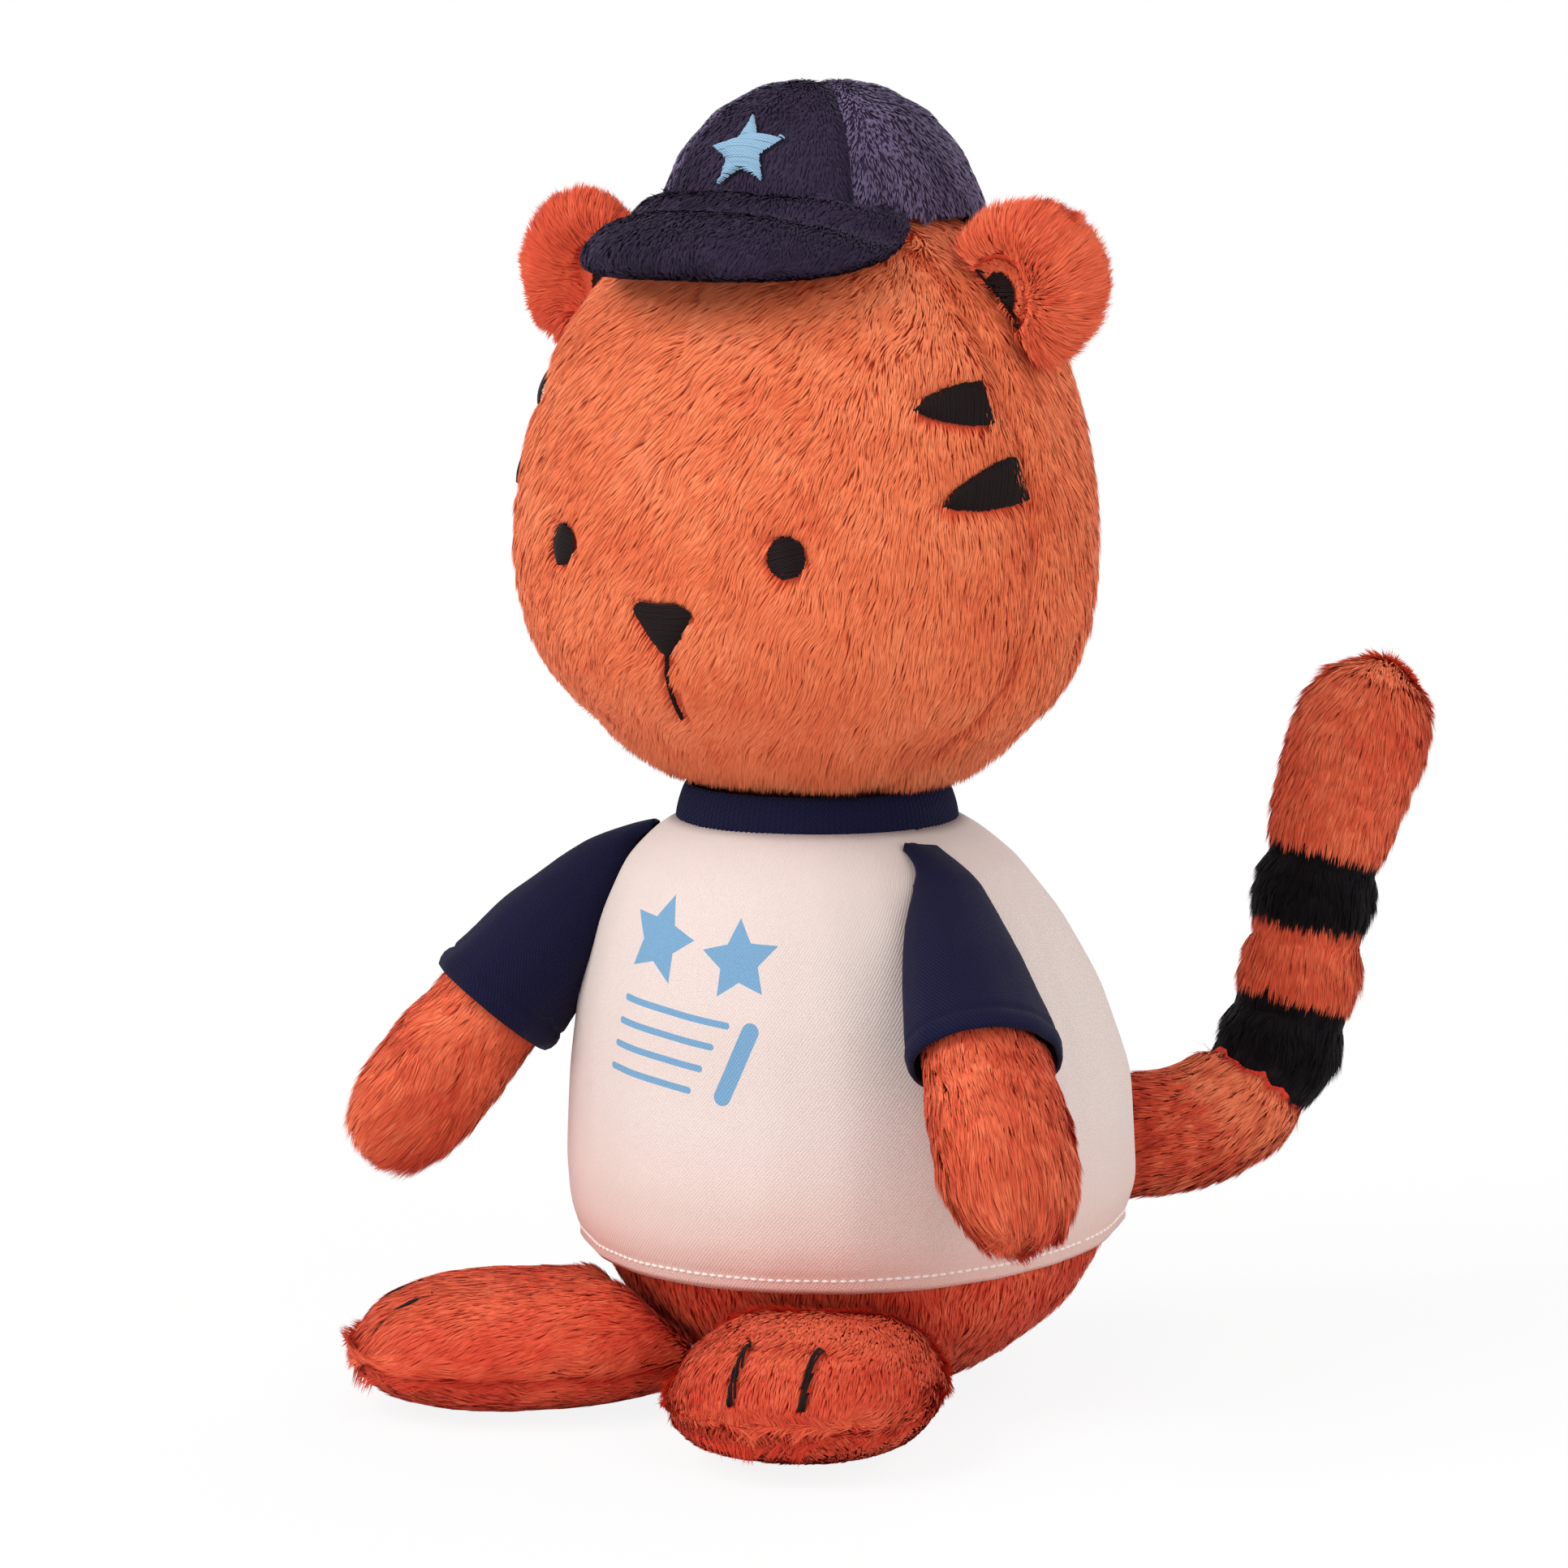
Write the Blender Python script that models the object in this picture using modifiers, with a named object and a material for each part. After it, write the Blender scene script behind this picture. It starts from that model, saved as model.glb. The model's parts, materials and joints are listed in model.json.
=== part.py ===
"""Seated plush tiger in a raglan shirt and a cap, built up from its sewn skins and stuffings.

Metres, +Z up. The toy looks along -Y, its left side is at +X, and it sits on the floor at Z = 0
with the middle of its seat at the origin.
"""

import math

import bmesh
import bpy
import numpy as np
from mathutils import Matrix, Vector

# Cloth, thread and clearances
SEAM_GAP = 0.0003
STUFFING_EASE = 0.0012
SKIN_WALL = 0.0018
KNIT_WALL = 0.0012
COLLAR_WALL = 0.0014
THREAD_HEIGHT = 0.0009
FLOOR_CUT = 0.0005
CURL_CLEARANCE = 0.0009
OVERRUN = 0.15
STITCH_REACH = 0.012

# Torso
TORSO_HEIGHT = 0.1450
TORSO_RADIUS = 0.0663
NECK_FORWARD = 0.0147
NECK_DEPTH = 0.0060
NECK_RADIUS = 0.0200
BEAN_BAG_RADIUS = 0.0400
BEAN_BAG_HEIGHT = 0.0220

# Shirt
HEM_FRONT_HEIGHT = 0.0330
HEM_BACK_HEIGHT = 0.0415
SHIRT_SEAM_FORWARD = 0.0060
COLLAR_HEIGHT = 0.0078
COLLAR_BOTTOM_RADIUS = 0.0332
COLLAR_TOP_RADIUS = 0.0306
TAIL_NOTCH_HALF_WIDTH = 0.0210
TAIL_NOTCH_HEIGHT = 0.0610

# Head
HEAD_SINK = 0.0023
HEAD_HEIGHT = 0.1470
HEAD_HALF_WIDTH = 0.0730
HEAD_HALF_DEPTH = 0.0610
HEAD_FORWARD = 0.0206
HEAD_SEAM_FORWARD = 0.0310

# Ears
EAR_OUT = 0.0605
EAR_FORWARD = 0.0220
EAR_RISE = 0.1200
EAR_RADIUS = 0.0178
EAR_THICKNESS = 0.0150
EAR_TURN = math.radians(12.0)
EAR_PATCH_WIDTH = 0.0085
EAR_PATCH_HEIGHT = 0.0140
EAR_PATCH_INWARD = 0.0062
EAR_PATCH_DROP = 0.0035

# Face embroidery
EYE_OUT = 0.0312
EYE_RISE = 0.0610
EYE_WIDTH = 0.0085
EYE_TALL = 0.0094
NOSE_RISE = 0.0430
NOSE_WIDTH = 0.0155
NOSE_TALL = 0.0120
MOUTH_RISE = 0.0365
MOUTH_TALL = 0.0150
MOUTH_WIDTH = 0.0016
STRIPE_TURNS = (math.radians(60.0), math.radians(66.0))
STRIPE_RISES = (0.0948, 0.0754)
STRIPE_LENGTHS = (0.0180, 0.0220)
STRIPE_TALLS = (0.0092, 0.0100)
STRIPE_SLOPES = (math.radians(4.0), math.radians(15.0))

# Cap
CROWN_RADIUS = 0.0405
CROWN_FORWARD = 0.0130
CROWN_SINK = 0.0220
CROWN_RISE = 0.0420
CROWN_TURN = math.radians(45.0)
BRIM_WIDTH = 0.0820
BRIM_LENGTH = 0.0740
BRIM_THICKNESS = 0.0165
BRIM_CENTRE_FORWARD = 0.0450
BRIM_CENTRE_RISE = 0.0105
BRIM_SLOPE = math.radians(17.0)
BRIM_DROP = 0.0080
EMBLEM_SIZE = 0.0190
EMBLEM_RISE_SHARE = 0.595
EMBLEM_TILT = math.radians(8.0)

# Arms, right then left
SHOULDER_OUT = 0.0395
SHOULDER_FORWARD = 0.0260
SHOULDER_DROP = 0.0120
ARM_SEAM_INWARD = 0.0025
ARM_SEAM_RISE = 0.0030
ARM_LENGTH = 0.1010
ARM_WIDTH = 0.0385
ARM_THICKNESS = 0.0290
ARM_SPREAD = math.radians(33.0)
ARM_REACH_FORWARD = math.radians(25.0)
SLEEVE_LENGTH = 0.0570

# Feet, right then left
FOOT_LENGTH = 0.0880
FOOT_WIDTH = 0.0640
FOOT_TOP_HEIGHT = 0.0320
FOOT_SEAM_HEIGHT = 0.0120
FOOT_OUTS = (0.0475, 0.0305)
FOOT_FORWARDS = (0.0635, 0.0625)
FOOT_SPLAYS = (math.radians(46.0), math.radians(18.0))
FOOT_PIVOT_FORWARD = 0.0290
TOE_STITCH_LENGTH = 0.0150
TOE_STITCH_WIDTH = 0.0014
TOE_STITCH_SPACING = 0.0170
TOE_STITCH_BACK = 0.0105

# Tail
TAIL_ROOT_GAP = 0.0005
TAIL_ROOT_HEIGHT = 0.0435
TAIL_REACH = 0.1080
TAIL_RISE = 0.1185
TAIL_RADIUS = 0.0152
TAIL_PINCH = 0.0012
TAIL_SWING = math.radians(34.0)

# Shapes, as shares of the sizes above: height, radius and forward lean, from seat to neck
TORSO_SHARES = (
    (0.000, 0.000, 0.00),
    (0.000, 0.250, 0.00),
    (0.005, 0.390, 0.00),
    (0.030, 0.510, 0.00),
    (0.080, 0.665, 0.00),
    (0.142, 0.825, 0.00),
    (0.240, 0.945, 0.00),
    (0.370, 1.000, 0.00),
    (0.525, 0.982, 0.00),
    (0.655, 0.917, 0.25),
    (0.780, 0.804, 0.55),
    (0.870, 0.680, 0.80),
    (0.920, 0.560, 0.92),
    (0.950, 0.455, 0.97),
    (1.000, 0.420, 1.00),
    (1.000, 0.000, 1.00),
)
# height, girth and forward lean, from under the chin to the top
HEAD_SHARES = (
    (0.000, 0.000, 0.72),
    (0.002, 0.330, 0.72),
    (0.019, 0.481, 0.75),
    (0.085, 0.679, 0.80),
    (0.150, 0.837, 0.86),
    (0.216, 0.931, 0.93),
    (0.306, 0.985, 0.98),
    (0.399, 1.000, 1.00),
    (0.503, 0.985, 0.98),
    (0.605, 0.940, 0.94),
    (0.735, 0.844, 0.86),
    (0.823, 0.710, 0.80),
    (0.905, 0.530, 0.75),
    (0.966, 0.300, 0.71),
    (0.993, 0.120, 0.70),
    (1.000, 0.000, 0.70),
)
# distance from the shoulder, half width and half thickness of an arm
ARM_SHARES = (
    (0.000, 0.000, 0.000),
    (0.010, 0.100, 0.160),
    (0.080, 0.270, 0.360),
    (0.200, 0.480, 0.570),
    (0.350, 0.700, 0.780),
    (0.520, 0.890, 0.930),
    (0.700, 1.000, 1.000),
    (0.850, 0.960, 0.950),
    (0.950, 0.720, 0.740),
    (0.990, 0.340, 0.380),
    (1.000, 0.000, 0.000),
)
ARM_BOW_SHARE = 0.012
FOOT_PLAN_POWER_SHARE = 0.80
FOOT_SECTION_POWER_SHARE = 0.62
FOOT_HEEL_SHARE = 0.22
# reach and rise of the middle line of the tail, then its girth along its length
TAIL_LINE_SHARES = (
    (0.000, 0.000),
    (0.170, 0.000),
    (0.340, 0.008),
    (0.500, 0.022),
    (0.642, 0.085),
    (0.728, 0.192),
    (0.770, 0.320),
    (0.805, 0.490),
    (0.862, 0.676),
    (0.935, 0.860),
    (1.000, 1.000),
)
TAIL_GIRTH_SHARES = (
    (0.00, 0.86),
    (0.12, 0.92),
    (0.25, 1.00),
    (0.40, 1.00),
    (0.60, 0.93),
    (0.75, 0.96),
    (0.88, 1.08),
    (0.94, 0.98),
    (0.98, 0.66),
    (1.00, 0.00),
)
# lengths along the tail where one cloth ends and the next begins
TAIL_BAND_SHARES = (0.442, 0.524, 0.626, 0.725)
TAIL_SEAM_WAIST_SHARE = 0.10
TAIL_SEAM_SPREAD_SHARE = 0.020
TAIL_PINCH_LENGTH_SHARE = 0.22
TAIL_HOLLOW_SHARE = 0.09
TAIL_GAP_SHARE = 0.002
TAIL_CURL_GAP_SHARE = 0.017
SEARCH_SHARE = 0.0001
NEARBY_SHARE = 0.01
NOSE_SHARES = (
    (-0.50, 0.30), (-0.46, 0.44), (-0.34, 0.50), (0.34, 0.50), (0.46, 0.44), (0.50, 0.30),
    (0.34, -0.02), (0.14, -0.40), (0.00, -0.50), (-0.14, -0.40), (-0.34, -0.02),
)
MOUTH_SHARES = ((0.0, 0.0), (-0.8, -0.25), (-1.3, -0.5), (-1.6, -0.75), (-1.8, -1.0))
STRIPE_SHARES = (
    (-0.50, 0.00), (-0.30, 0.26), (-0.02, 0.42), (0.26, 0.50), (0.50, 0.50),
    (0.50, -0.50), (0.22, -0.46), (-0.06, -0.36), (-0.32, -0.18),
)
STAR_INNER_SHARE = 0.46
EAR_FRONT_SHARE = 0.38
CROWN_SECTION_POWER_SHARE = 0.90
BRIM_SECTION_POWER_SHARE = 0.60
BRIM_ROOT_SHARE = 0.33

# Facets
TORSO_RINGS, TORSO_SEGMENTS = len(TORSO_SHARES) - 1, 22
HEAD_RINGS, HEAD_SEGMENTS = len(HEAD_SHARES) - 1, 28
ARM_RINGS, ARM_SEGMENTS = len(ARM_SHARES) - 1, 12
FOOT_RINGS, FOOT_SEGMENTS = 8, 18
TAIL_RINGS, TAIL_SEGMENTS = 24, 12
BALL_RINGS = 3
CUP_RINGS, CUP_SEGMENTS = 10, 16
EAR_RINGS, EAR_SEGMENTS = 8, 14
CROWN_RINGS, CROWN_SEGMENTS = 10, 20
BRIM_RINGS, BRIM_SEGMENTS = 8, 20
OVAL_POINTS = 14
STAR_POINTS = 5
SHARP_ANGLE = math.radians(40.0)

# Colours and roughness
ORANGE_PLUSH = ((0.55, 0.070, 0.037), 0.95)
STUFFING_WHITE = ((0.85, 0.85, 0.82), 1.00)
SHIRT_WHITE = ((0.80, 0.68, 0.63), 0.85)
NAVY_KNIT = ((0.013, 0.012, 0.036), 0.85)
CAP_PLUSH = ((0.030, 0.021, 0.045), 0.90)
BLACK_THREAD = ((0.020, 0.012, 0.013), 0.60)
BLACK_PLUSH = ((0.004, 0.003, 0.004), 0.95)
BLUE_THREAD = ((0.30, 0.47, 0.62), 0.50)
BEAN_CLOTH = ((0.60, 0.60, 0.58), 0.90)

for leftover in list(bpy.data.objects):
    bpy.data.objects.remove(leftover, do_unlink=True)

parts = bpy.data.collections.new("plush_tiger")
cutters = bpy.data.collections.new("cutters")
bpy.context.scene.collection.children.link(parts)
bpy.context.scene.collection.children.link(cutters)


def dress(piece, finish):
    """Gives the piece a material of its own."""
    colour, roughness = finish
    cloth = bpy.data.materials.new(piece.name + "_finish")
    cloth.use_nodes = True
    shader = cloth.node_tree.nodes["Principled BSDF"]
    shader.inputs["Base Color"].default_value = (*colour, 1.0)
    shader.inputs["Roughness"].default_value = roughness
    shader.inputs["Metallic"].default_value = 0.0
    piece.data.materials.append(cloth)


def add_object(name, mesh, finish=None, pivot=None):
    """Links a finished part, or a cutter when it has no finish."""
    made = bpy.data.objects.new(name, mesh)
    if finish is None:
        cutters.objects.link(made)
        made.hide_render = True
        made.display_type = "WIRE"
        return made
    parts.objects.link(made)
    for face in mesh.polygons:
        face.use_smooth = True
    mesh.set_sharp_from_angle(angle=SHARP_ANGLE)
    dress(made, finish)
    if pivot is not None:
        made.parent = pivot
        made.matrix_parent_inverse = pivot.matrix_world.inverted()
    return made


def add_pivot(name, place):
    """An empty on the axis that a moving body turns about."""
    pivot = bpy.data.objects.new(name, None)
    pivot.location = place
    parts.objects.link(pivot)
    bpy.context.view_layer.update()
    return pivot


def smooth_at(table, share):
    """The point at this share of the length of a smooth curve through the rows of a table."""
    rows = np.array(table, float)
    along = np.concatenate([[0.0], np.cumsum(np.linalg.norm(np.diff(rows, axis=0), axis=1))])
    slopes = np.gradient(rows, along, axis=0)
    where = share * along[-1]
    row = min(int(np.searchsorted(along, where, side="right")) - 1, len(rows) - 2)
    step = along[row + 1] - along[row]
    t = (where - along[row]) / step
    return (
        (1 + 2 * t) * (1 - t) ** 2 * rows[row]
        + t * (1 - t) ** 2 * step * slopes[row]
        + t * t * (3 - 2 * t) * rows[row + 1]
        + t * t * (t - 1) * step * slopes[row + 1]
    )


def row_at(table, share):
    """The row at this share of the way down a table, between its rows by straight lines."""
    rows = np.array(table, float)
    where = share * (len(rows) - 1)
    return [float(np.interp(where, range(len(rows)), column)) for column in rows.T]


def swollen(rings, segments, place, swell=0.0, open_start=False, open_end=False):
    """A ball whose rings go to place(share, angle), then grown by swell and opened at its poles."""
    shape = bmesh.new()
    bmesh.ops.create_uvsphere(shape, u_segments=segments, v_segments=rings, radius=1.0)
    shares = {}
    for vert in shape.verts:
        shares[vert] = 0.5 + math.asin(max(-1.0, min(1.0, vert.co.z))) / math.pi
    for vert in shape.verts:
        vert.co = place(shares[vert], math.atan2(vert.co.y, vert.co.x))
    if shape.calc_volume(signed=True) < 0:
        bmesh.ops.reverse_faces(shape, faces=shape.faces)
    shape.normal_update()
    moved = {vert: vert.co + vert.normal * swell * vert.calc_shell_factor() for vert in shape.verts}
    for vert, spot in moved.items():
        vert.co = spot
    poles = [vert for vert in shape.verts if open_start and shares[vert] < NEARBY_SHARE]
    poles += [vert for vert in shape.verts if open_end and shares[vert] > 1 - NEARBY_SHARE]
    bmesh.ops.delete(shape, geom=poles, context="VERTS")
    mesh = bpy.data.meshes.new("form")
    shape.to_mesh(mesh)
    shape.free()
    return mesh


def give_wall(piece, wall):
    """Turns an open skin into cloth of this thickness, measured inwards."""
    modifier = piece.modifiers.new("wall", "SOLIDIFY")
    modifier.thickness = wall
    modifier.offset = -1.0
    modifier.use_even_offset = True


def combine(piece, operation, other):
    """Adds a Boolean of the piece with another object."""
    modifier = piece.modifiers.new(operation.lower(), "BOOLEAN")
    modifier.operation = operation
    modifier.solver = "EXACT"
    modifier.object = other


def block(name, low, high, hem=None):
    """A box cutter between two corners, whose underside can follow a hem height given by Y."""
    shape = bmesh.new()
    bmesh.ops.create_cube(shape, size=1.0)
    for vert in shape.verts:
        is_low = vert.co.z < 0
        vert.co = [low[i] if vert.co[i] < 0 else high[i] for i in range(3)]
        if hem is not None and is_low:
            vert.co.z = hem(vert.co.y)
    mesh = bpy.data.meshes.new(name)
    shape.to_mesh(mesh)
    shape.free()
    return add_object(name, mesh)


def placed_block(name, low, high, frame):
    """A box cutter between two corners, carried into a frame of its own."""
    cutter = block(name, low, high)
    cutter.data.transform(frame)
    return cutter


def round_bar(name, radius, low, high, centre_y):
    """An upright cylinder cutter."""
    shape = bmesh.new()
    bmesh.ops.create_cone(
        shape, cap_ends=True, segments=TORSO_SEGMENTS, radius1=radius, radius2=radius,
        depth=high - low,
    )
    mesh = bpy.data.meshes.new(name)
    shape.to_mesh(mesh)
    shape.free()
    mesh.transform(Matrix.Translation((0.0, centre_y, (low + high) / 2)))
    return add_object(name, mesh)


def outline_prism(name, points, frame, finish, pivot):
    """A flat outline in the XY plane of a frame, filled and thickened both ways along its Z."""
    curve = bpy.data.curves.new(name, "CURVE")
    curve.dimensions = "2D"
    curve.fill_mode = "BOTH"
    curve.extrude = STITCH_REACH
    spline = curve.splines.new("POLY")
    spline.points.add(len(points) - 1)
    for point, (across, up) in zip(spline.points, points):
        point.co = (across, up, 0.0, 1.0)
    spline.use_cyclic_u = True
    guide = bpy.data.objects.new(name + "_outline", curve)
    cutters.objects.link(guide)
    graph = bpy.context.evaluated_depsgraph_get()
    mesh = bpy.data.meshes.new_from_object(guide.evaluated_get(graph))
    bpy.data.objects.remove(guide, do_unlink=True)
    shape = bmesh.new()
    shape.from_mesh(mesh)
    bmesh.ops.remove_doubles(shape, verts=shape.verts, dist=SEAM_GAP / 10)
    bmesh.ops.recalc_face_normals(shape, faces=shape.faces)
    shape.to_mesh(mesh)
    shape.free()
    mesh.transform(frame)
    return add_object(name, mesh, finish, pivot)


def facing(centre, outward, up=(0.0, 0.0, 1.0)):
    """A frame at centre whose Z points outward and whose Y is as near to up as it can be."""
    z = Vector(outward).normalized()
    x = Vector(up).cross(z).normalized()
    y = z.cross(x)
    turn = Matrix((x, y, z)).transposed().to_4x4()
    return Matrix.Translation(centre) @ turn


def stitched(name, points, frame, under, over, finish, pivot):
    """Embroidery: the outline kept between the skin and the height of the thread above it."""
    made = outline_prism(name, points, frame, finish, pivot)
    combine(made, "INTERSECT", over)
    combine(made, "DIFFERENCE", under)
    return made


def oval(width, tall):
    """The points of an ellipse."""
    turns = [2 * math.pi * k / OVAL_POINTS for k in range(OVAL_POINTS)]
    return [(width / 2 * math.cos(a), tall / 2 * math.sin(a)) for a in turns]


def scaled(shares, width, tall):
    """An outline of shares at its real width and height."""
    return [(across * width, up * tall) for across, up in shares]


def turn_about(axis, angle, centre):
    """A turn about an axis through a centre."""
    there = Matrix.Translation(centre)
    return there @ Matrix.Rotation(angle, 4, axis) @ there.inverted()


# Torso: a plush skin closed under the seat, its stuffing, and a bag of beans that keeps it upright
def torso_place(share, angle):
    """A point of the torso skin."""
    height, radius, lean = row_at(TORSO_SHARES, share)
    reach = radius * TORSO_RADIUS
    drop = FLOOR_CUT * (1 - height)
    return Vector((
        reach * math.cos(angle),
        reach * math.sin(angle) - lean * NECK_FORWARD,
        height * TORSO_HEIGHT - drop,
    ))


def torso_mesh(swell=0.0, **opened):
    """The torso form, grown or shrunk."""
    return swollen(TORSO_RINGS, TORSO_SEGMENTS, torso_place, swell, **opened)


neck_axis_y = -NECK_FORWARD
neck_seat = TORSO_HEIGHT - NECK_DEPTH
shirt_top = TORSO_HEIGHT - COLLAR_HEIGHT
above_floor = block("above_floor", (-OVERRUN, -OVERRUN, 0.0), (OVERRUN, OVERRUN, OVERRUN))
neck_passage = round_bar(
    "neck_passage", NECK_RADIUS + SEAM_GAP, neck_seat, TORSO_HEIGHT + OVERRUN, neck_axis_y
)
shirt_outside = add_object("shirt_outside", torso_mesh(KNIT_WALL + 2 * SEAM_GAP))

torso_skin = add_object("torso_skin", torso_mesh(), ORANGE_PLUSH)
give_wall(torso_skin, SKIN_WALL)
combine(torso_skin, "INTERSECT", above_floor)
combine(torso_skin, "DIFFERENCE", neck_passage)


def bean_bag_mesh(swell):
    """A flat round cushion on the inside of the seat."""
    middle = SKIN_WALL + SEAM_GAP + BEAN_BAG_HEIGHT / 2

    def place(share, angle):
        tilt = math.pi * (share - 0.5)
        reach = BEAN_BAG_RADIUS * math.cos(tilt)
        rise = BEAN_BAG_HEIGHT / 2 * math.sin(tilt)
        return Vector((reach * math.cos(angle), reach * math.sin(angle), middle + rise))

    return swollen(EAR_RINGS, EAR_SEGMENTS, place, swell)


bean_bag = add_object("bean_bag", bean_bag_mesh(0.0), BEAN_CLOTH)
bean_pocket = add_object("bean_pocket", bean_bag_mesh(SEAM_GAP))
seat_hollow = round_bar(
    "seat_hollow", BEAN_BAG_RADIUS / 2, -OVERRUN, SKIN_WALL + SEAM_GAP + BEAN_BAG_HEIGHT / 2, 0.0
)
torso_stuffing = add_object("torso_stuffing", torso_mesh(-SKIN_WALL - SEAM_GAP), STUFFING_WHITE)
under_neck = block(
    "under_neck",
    (-OVERRUN, -OVERRUN, SKIN_WALL + SEAM_GAP),
    (OVERRUN, OVERRUN, neck_seat - SEAM_GAP),
)
combine(torso_stuffing, "INTERSECT", under_neck)
combine(torso_stuffing, "DIFFERENCE", bean_pocket)
combine(torso_stuffing, "DIFFERENCE", seat_hollow)

# Shirt: a front and a back of knitted cloth sewn at the shoulders and sides, with a ribbed collar
def hem_height(y):
    """The hem drops from the back of the shirt to its front."""
    back_share = (y / TORSO_RADIUS + 1) / 2
    return HEM_FRONT_HEIGHT + (HEM_BACK_HEIGHT - HEM_FRONT_HEIGHT) * back_share


tail_notch = block(
    "tail_notch",
    (-TAIL_NOTCH_HALF_WIDTH, 0.0, 0.0),
    (TAIL_NOTCH_HALF_WIDTH, OVERRUN, TAIL_NOTCH_HEIGHT),
)
shirt_halves = {
    "shirt_front": (-OVERRUN, -SHIRT_SEAM_FORWARD - SEAM_GAP / 2),
    "shirt_back": (-SHIRT_SEAM_FORWARD + SEAM_GAP / 2, OVERRUN),
}
for half_name, (near_y, far_y) in shirt_halves.items():
    half = add_object(
        half_name,
        torso_mesh(KNIT_WALL + SEAM_GAP, open_start=True, open_end=True),
        SHIRT_WHITE,
    )
    give_wall(half, KNIT_WALL)
    span = block(
        half_name + "_span", (-OVERRUN, near_y, 0.0), (OVERRUN, far_y, shirt_top), hem_height
    )
    combine(half, "INTERSECT", span)
    if half_name == "shirt_back":
        combine(half, "DIFFERENCE", tail_notch)

collar_shape = bmesh.new()
bmesh.ops.create_cone(
    collar_shape, cap_ends=False, segments=TORSO_SEGMENTS, radius1=COLLAR_BOTTOM_RADIUS,
    radius2=COLLAR_TOP_RADIUS, depth=COLLAR_HEIGHT + 2 * COLLAR_WALL,
)
collar_mesh = bpy.data.meshes.new("collar")
collar_shape.to_mesh(collar_mesh)
collar_shape.free()
collar_bottom = shirt_top + SEAM_GAP
collar_top = collar_bottom + COLLAR_HEIGHT
collar_mesh.transform(Matrix.Translation((0.0, neck_axis_y, (collar_bottom + collar_top) / 2)))
collar = add_object("shirt_collar", collar_mesh, NAVY_KNIT)
give_wall(collar, COLLAR_WALL)
combine(collar, "INTERSECT", block(
    "collar_span", (-OVERRUN, -OVERRUN, collar_bottom), (OVERRUN, OVERRUN, collar_top)
))

# Head: two face panels that meet on a middle seam, a back panel, and one stuffing with the neck
head_pivot = add_pivot("head_turn_axis", (0.0, neck_axis_y, collar_top))
head_base = collar_top + SEAM_GAP
head_bottom = collar_top - HEAD_SINK
crown_base = head_bottom + HEAD_HEIGHT - CROWN_SINK


def head_place(share, angle):
    """A point of the head skin."""
    height, girth, lean = row_at(HEAD_SHARES, share)
    return Vector((
        girth * HEAD_HALF_WIDTH * math.cos(angle),
        girth * HEAD_HALF_DEPTH * math.sin(angle) - lean * HEAD_FORWARD,
        head_bottom + height * HEAD_HEIGHT,
    ))


def head_mesh(swell=0.0, **opened):
    """The head form, grown or shrunk."""
    return swollen(HEAD_RINGS, HEAD_SEGMENTS, head_place, swell, **opened)


head_outside = add_object("head_outside", head_mesh(SEAM_GAP))
thread_outside = add_object("thread_outside", head_mesh(SEAM_GAP + THREAD_HEIGHT))
head_top = head_bottom + HEAD_HEIGHT + OVERRUN
seam_y = -HEAD_SEAM_FORWARD
head_panels = {
    "face_left": ((SEAM_GAP / 2, -OVERRUN), (OVERRUN, seam_y - SEAM_GAP / 2)),
    "face_right": ((-OVERRUN, -OVERRUN), (-SEAM_GAP / 2, seam_y - SEAM_GAP / 2)),
    "head_back": ((-OVERRUN, seam_y + SEAM_GAP / 2), (OVERRUN, OVERRUN)),
}
for panel_name, (low_xy, high_xy) in head_panels.items():
    panel = add_object(panel_name, head_mesh(), ORANGE_PLUSH, head_pivot)
    give_wall(panel, SKIN_WALL)
    combine(panel, "INTERSECT", block(
        panel_name + "_span", (*low_xy, head_base), (*high_xy, head_top)
    ))

head_stuffing = add_object(
    "head_stuffing", head_mesh(-SKIN_WALL - SEAM_GAP), STUFFING_WHITE, head_pivot
)
combine(head_stuffing, "INTERSECT", block(
    "above_collar", (-OVERRUN, -OVERRUN, head_base), (OVERRUN, OVERRUN, head_top)
))
combine(head_stuffing, "UNION", round_bar(
    "neck_stub", NECK_RADIUS, neck_seat + SEAM_GAP, head_base + SKIN_WALL, neck_axis_y
))


def head_level(z):
    """The share along the head's profile at a height above the floor."""
    low, high = 0.0, 1.0
    while high - low > SEARCH_SHARE:
        middle = (low + high) / 2
        if head_bottom + row_at(HEAD_SHARES, middle)[0] * HEAD_HEIGHT < z:
            low = middle
        else:
            high = middle
    return low


def head_girth(z):
    """The girth share of the head at a height above the floor."""
    return row_at(HEAD_SHARES, head_level(z))[1]


def head_spot(x, z):
    """The point on the front of the head at a width and a height, with its outward direction."""
    level = head_level(z)
    girth = row_at(HEAD_SHARES, level)[1]
    angle = -math.acos(max(-1.0, min(1.0, x / (girth * HEAD_HALF_WIDTH))))
    here = head_place(level, angle)
    above = head_place(level + NEARBY_SHARE, angle) - here
    beside = head_place(level, angle + NEARBY_SHARE) - here
    return here, beside.cross(above).normalized()


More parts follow.
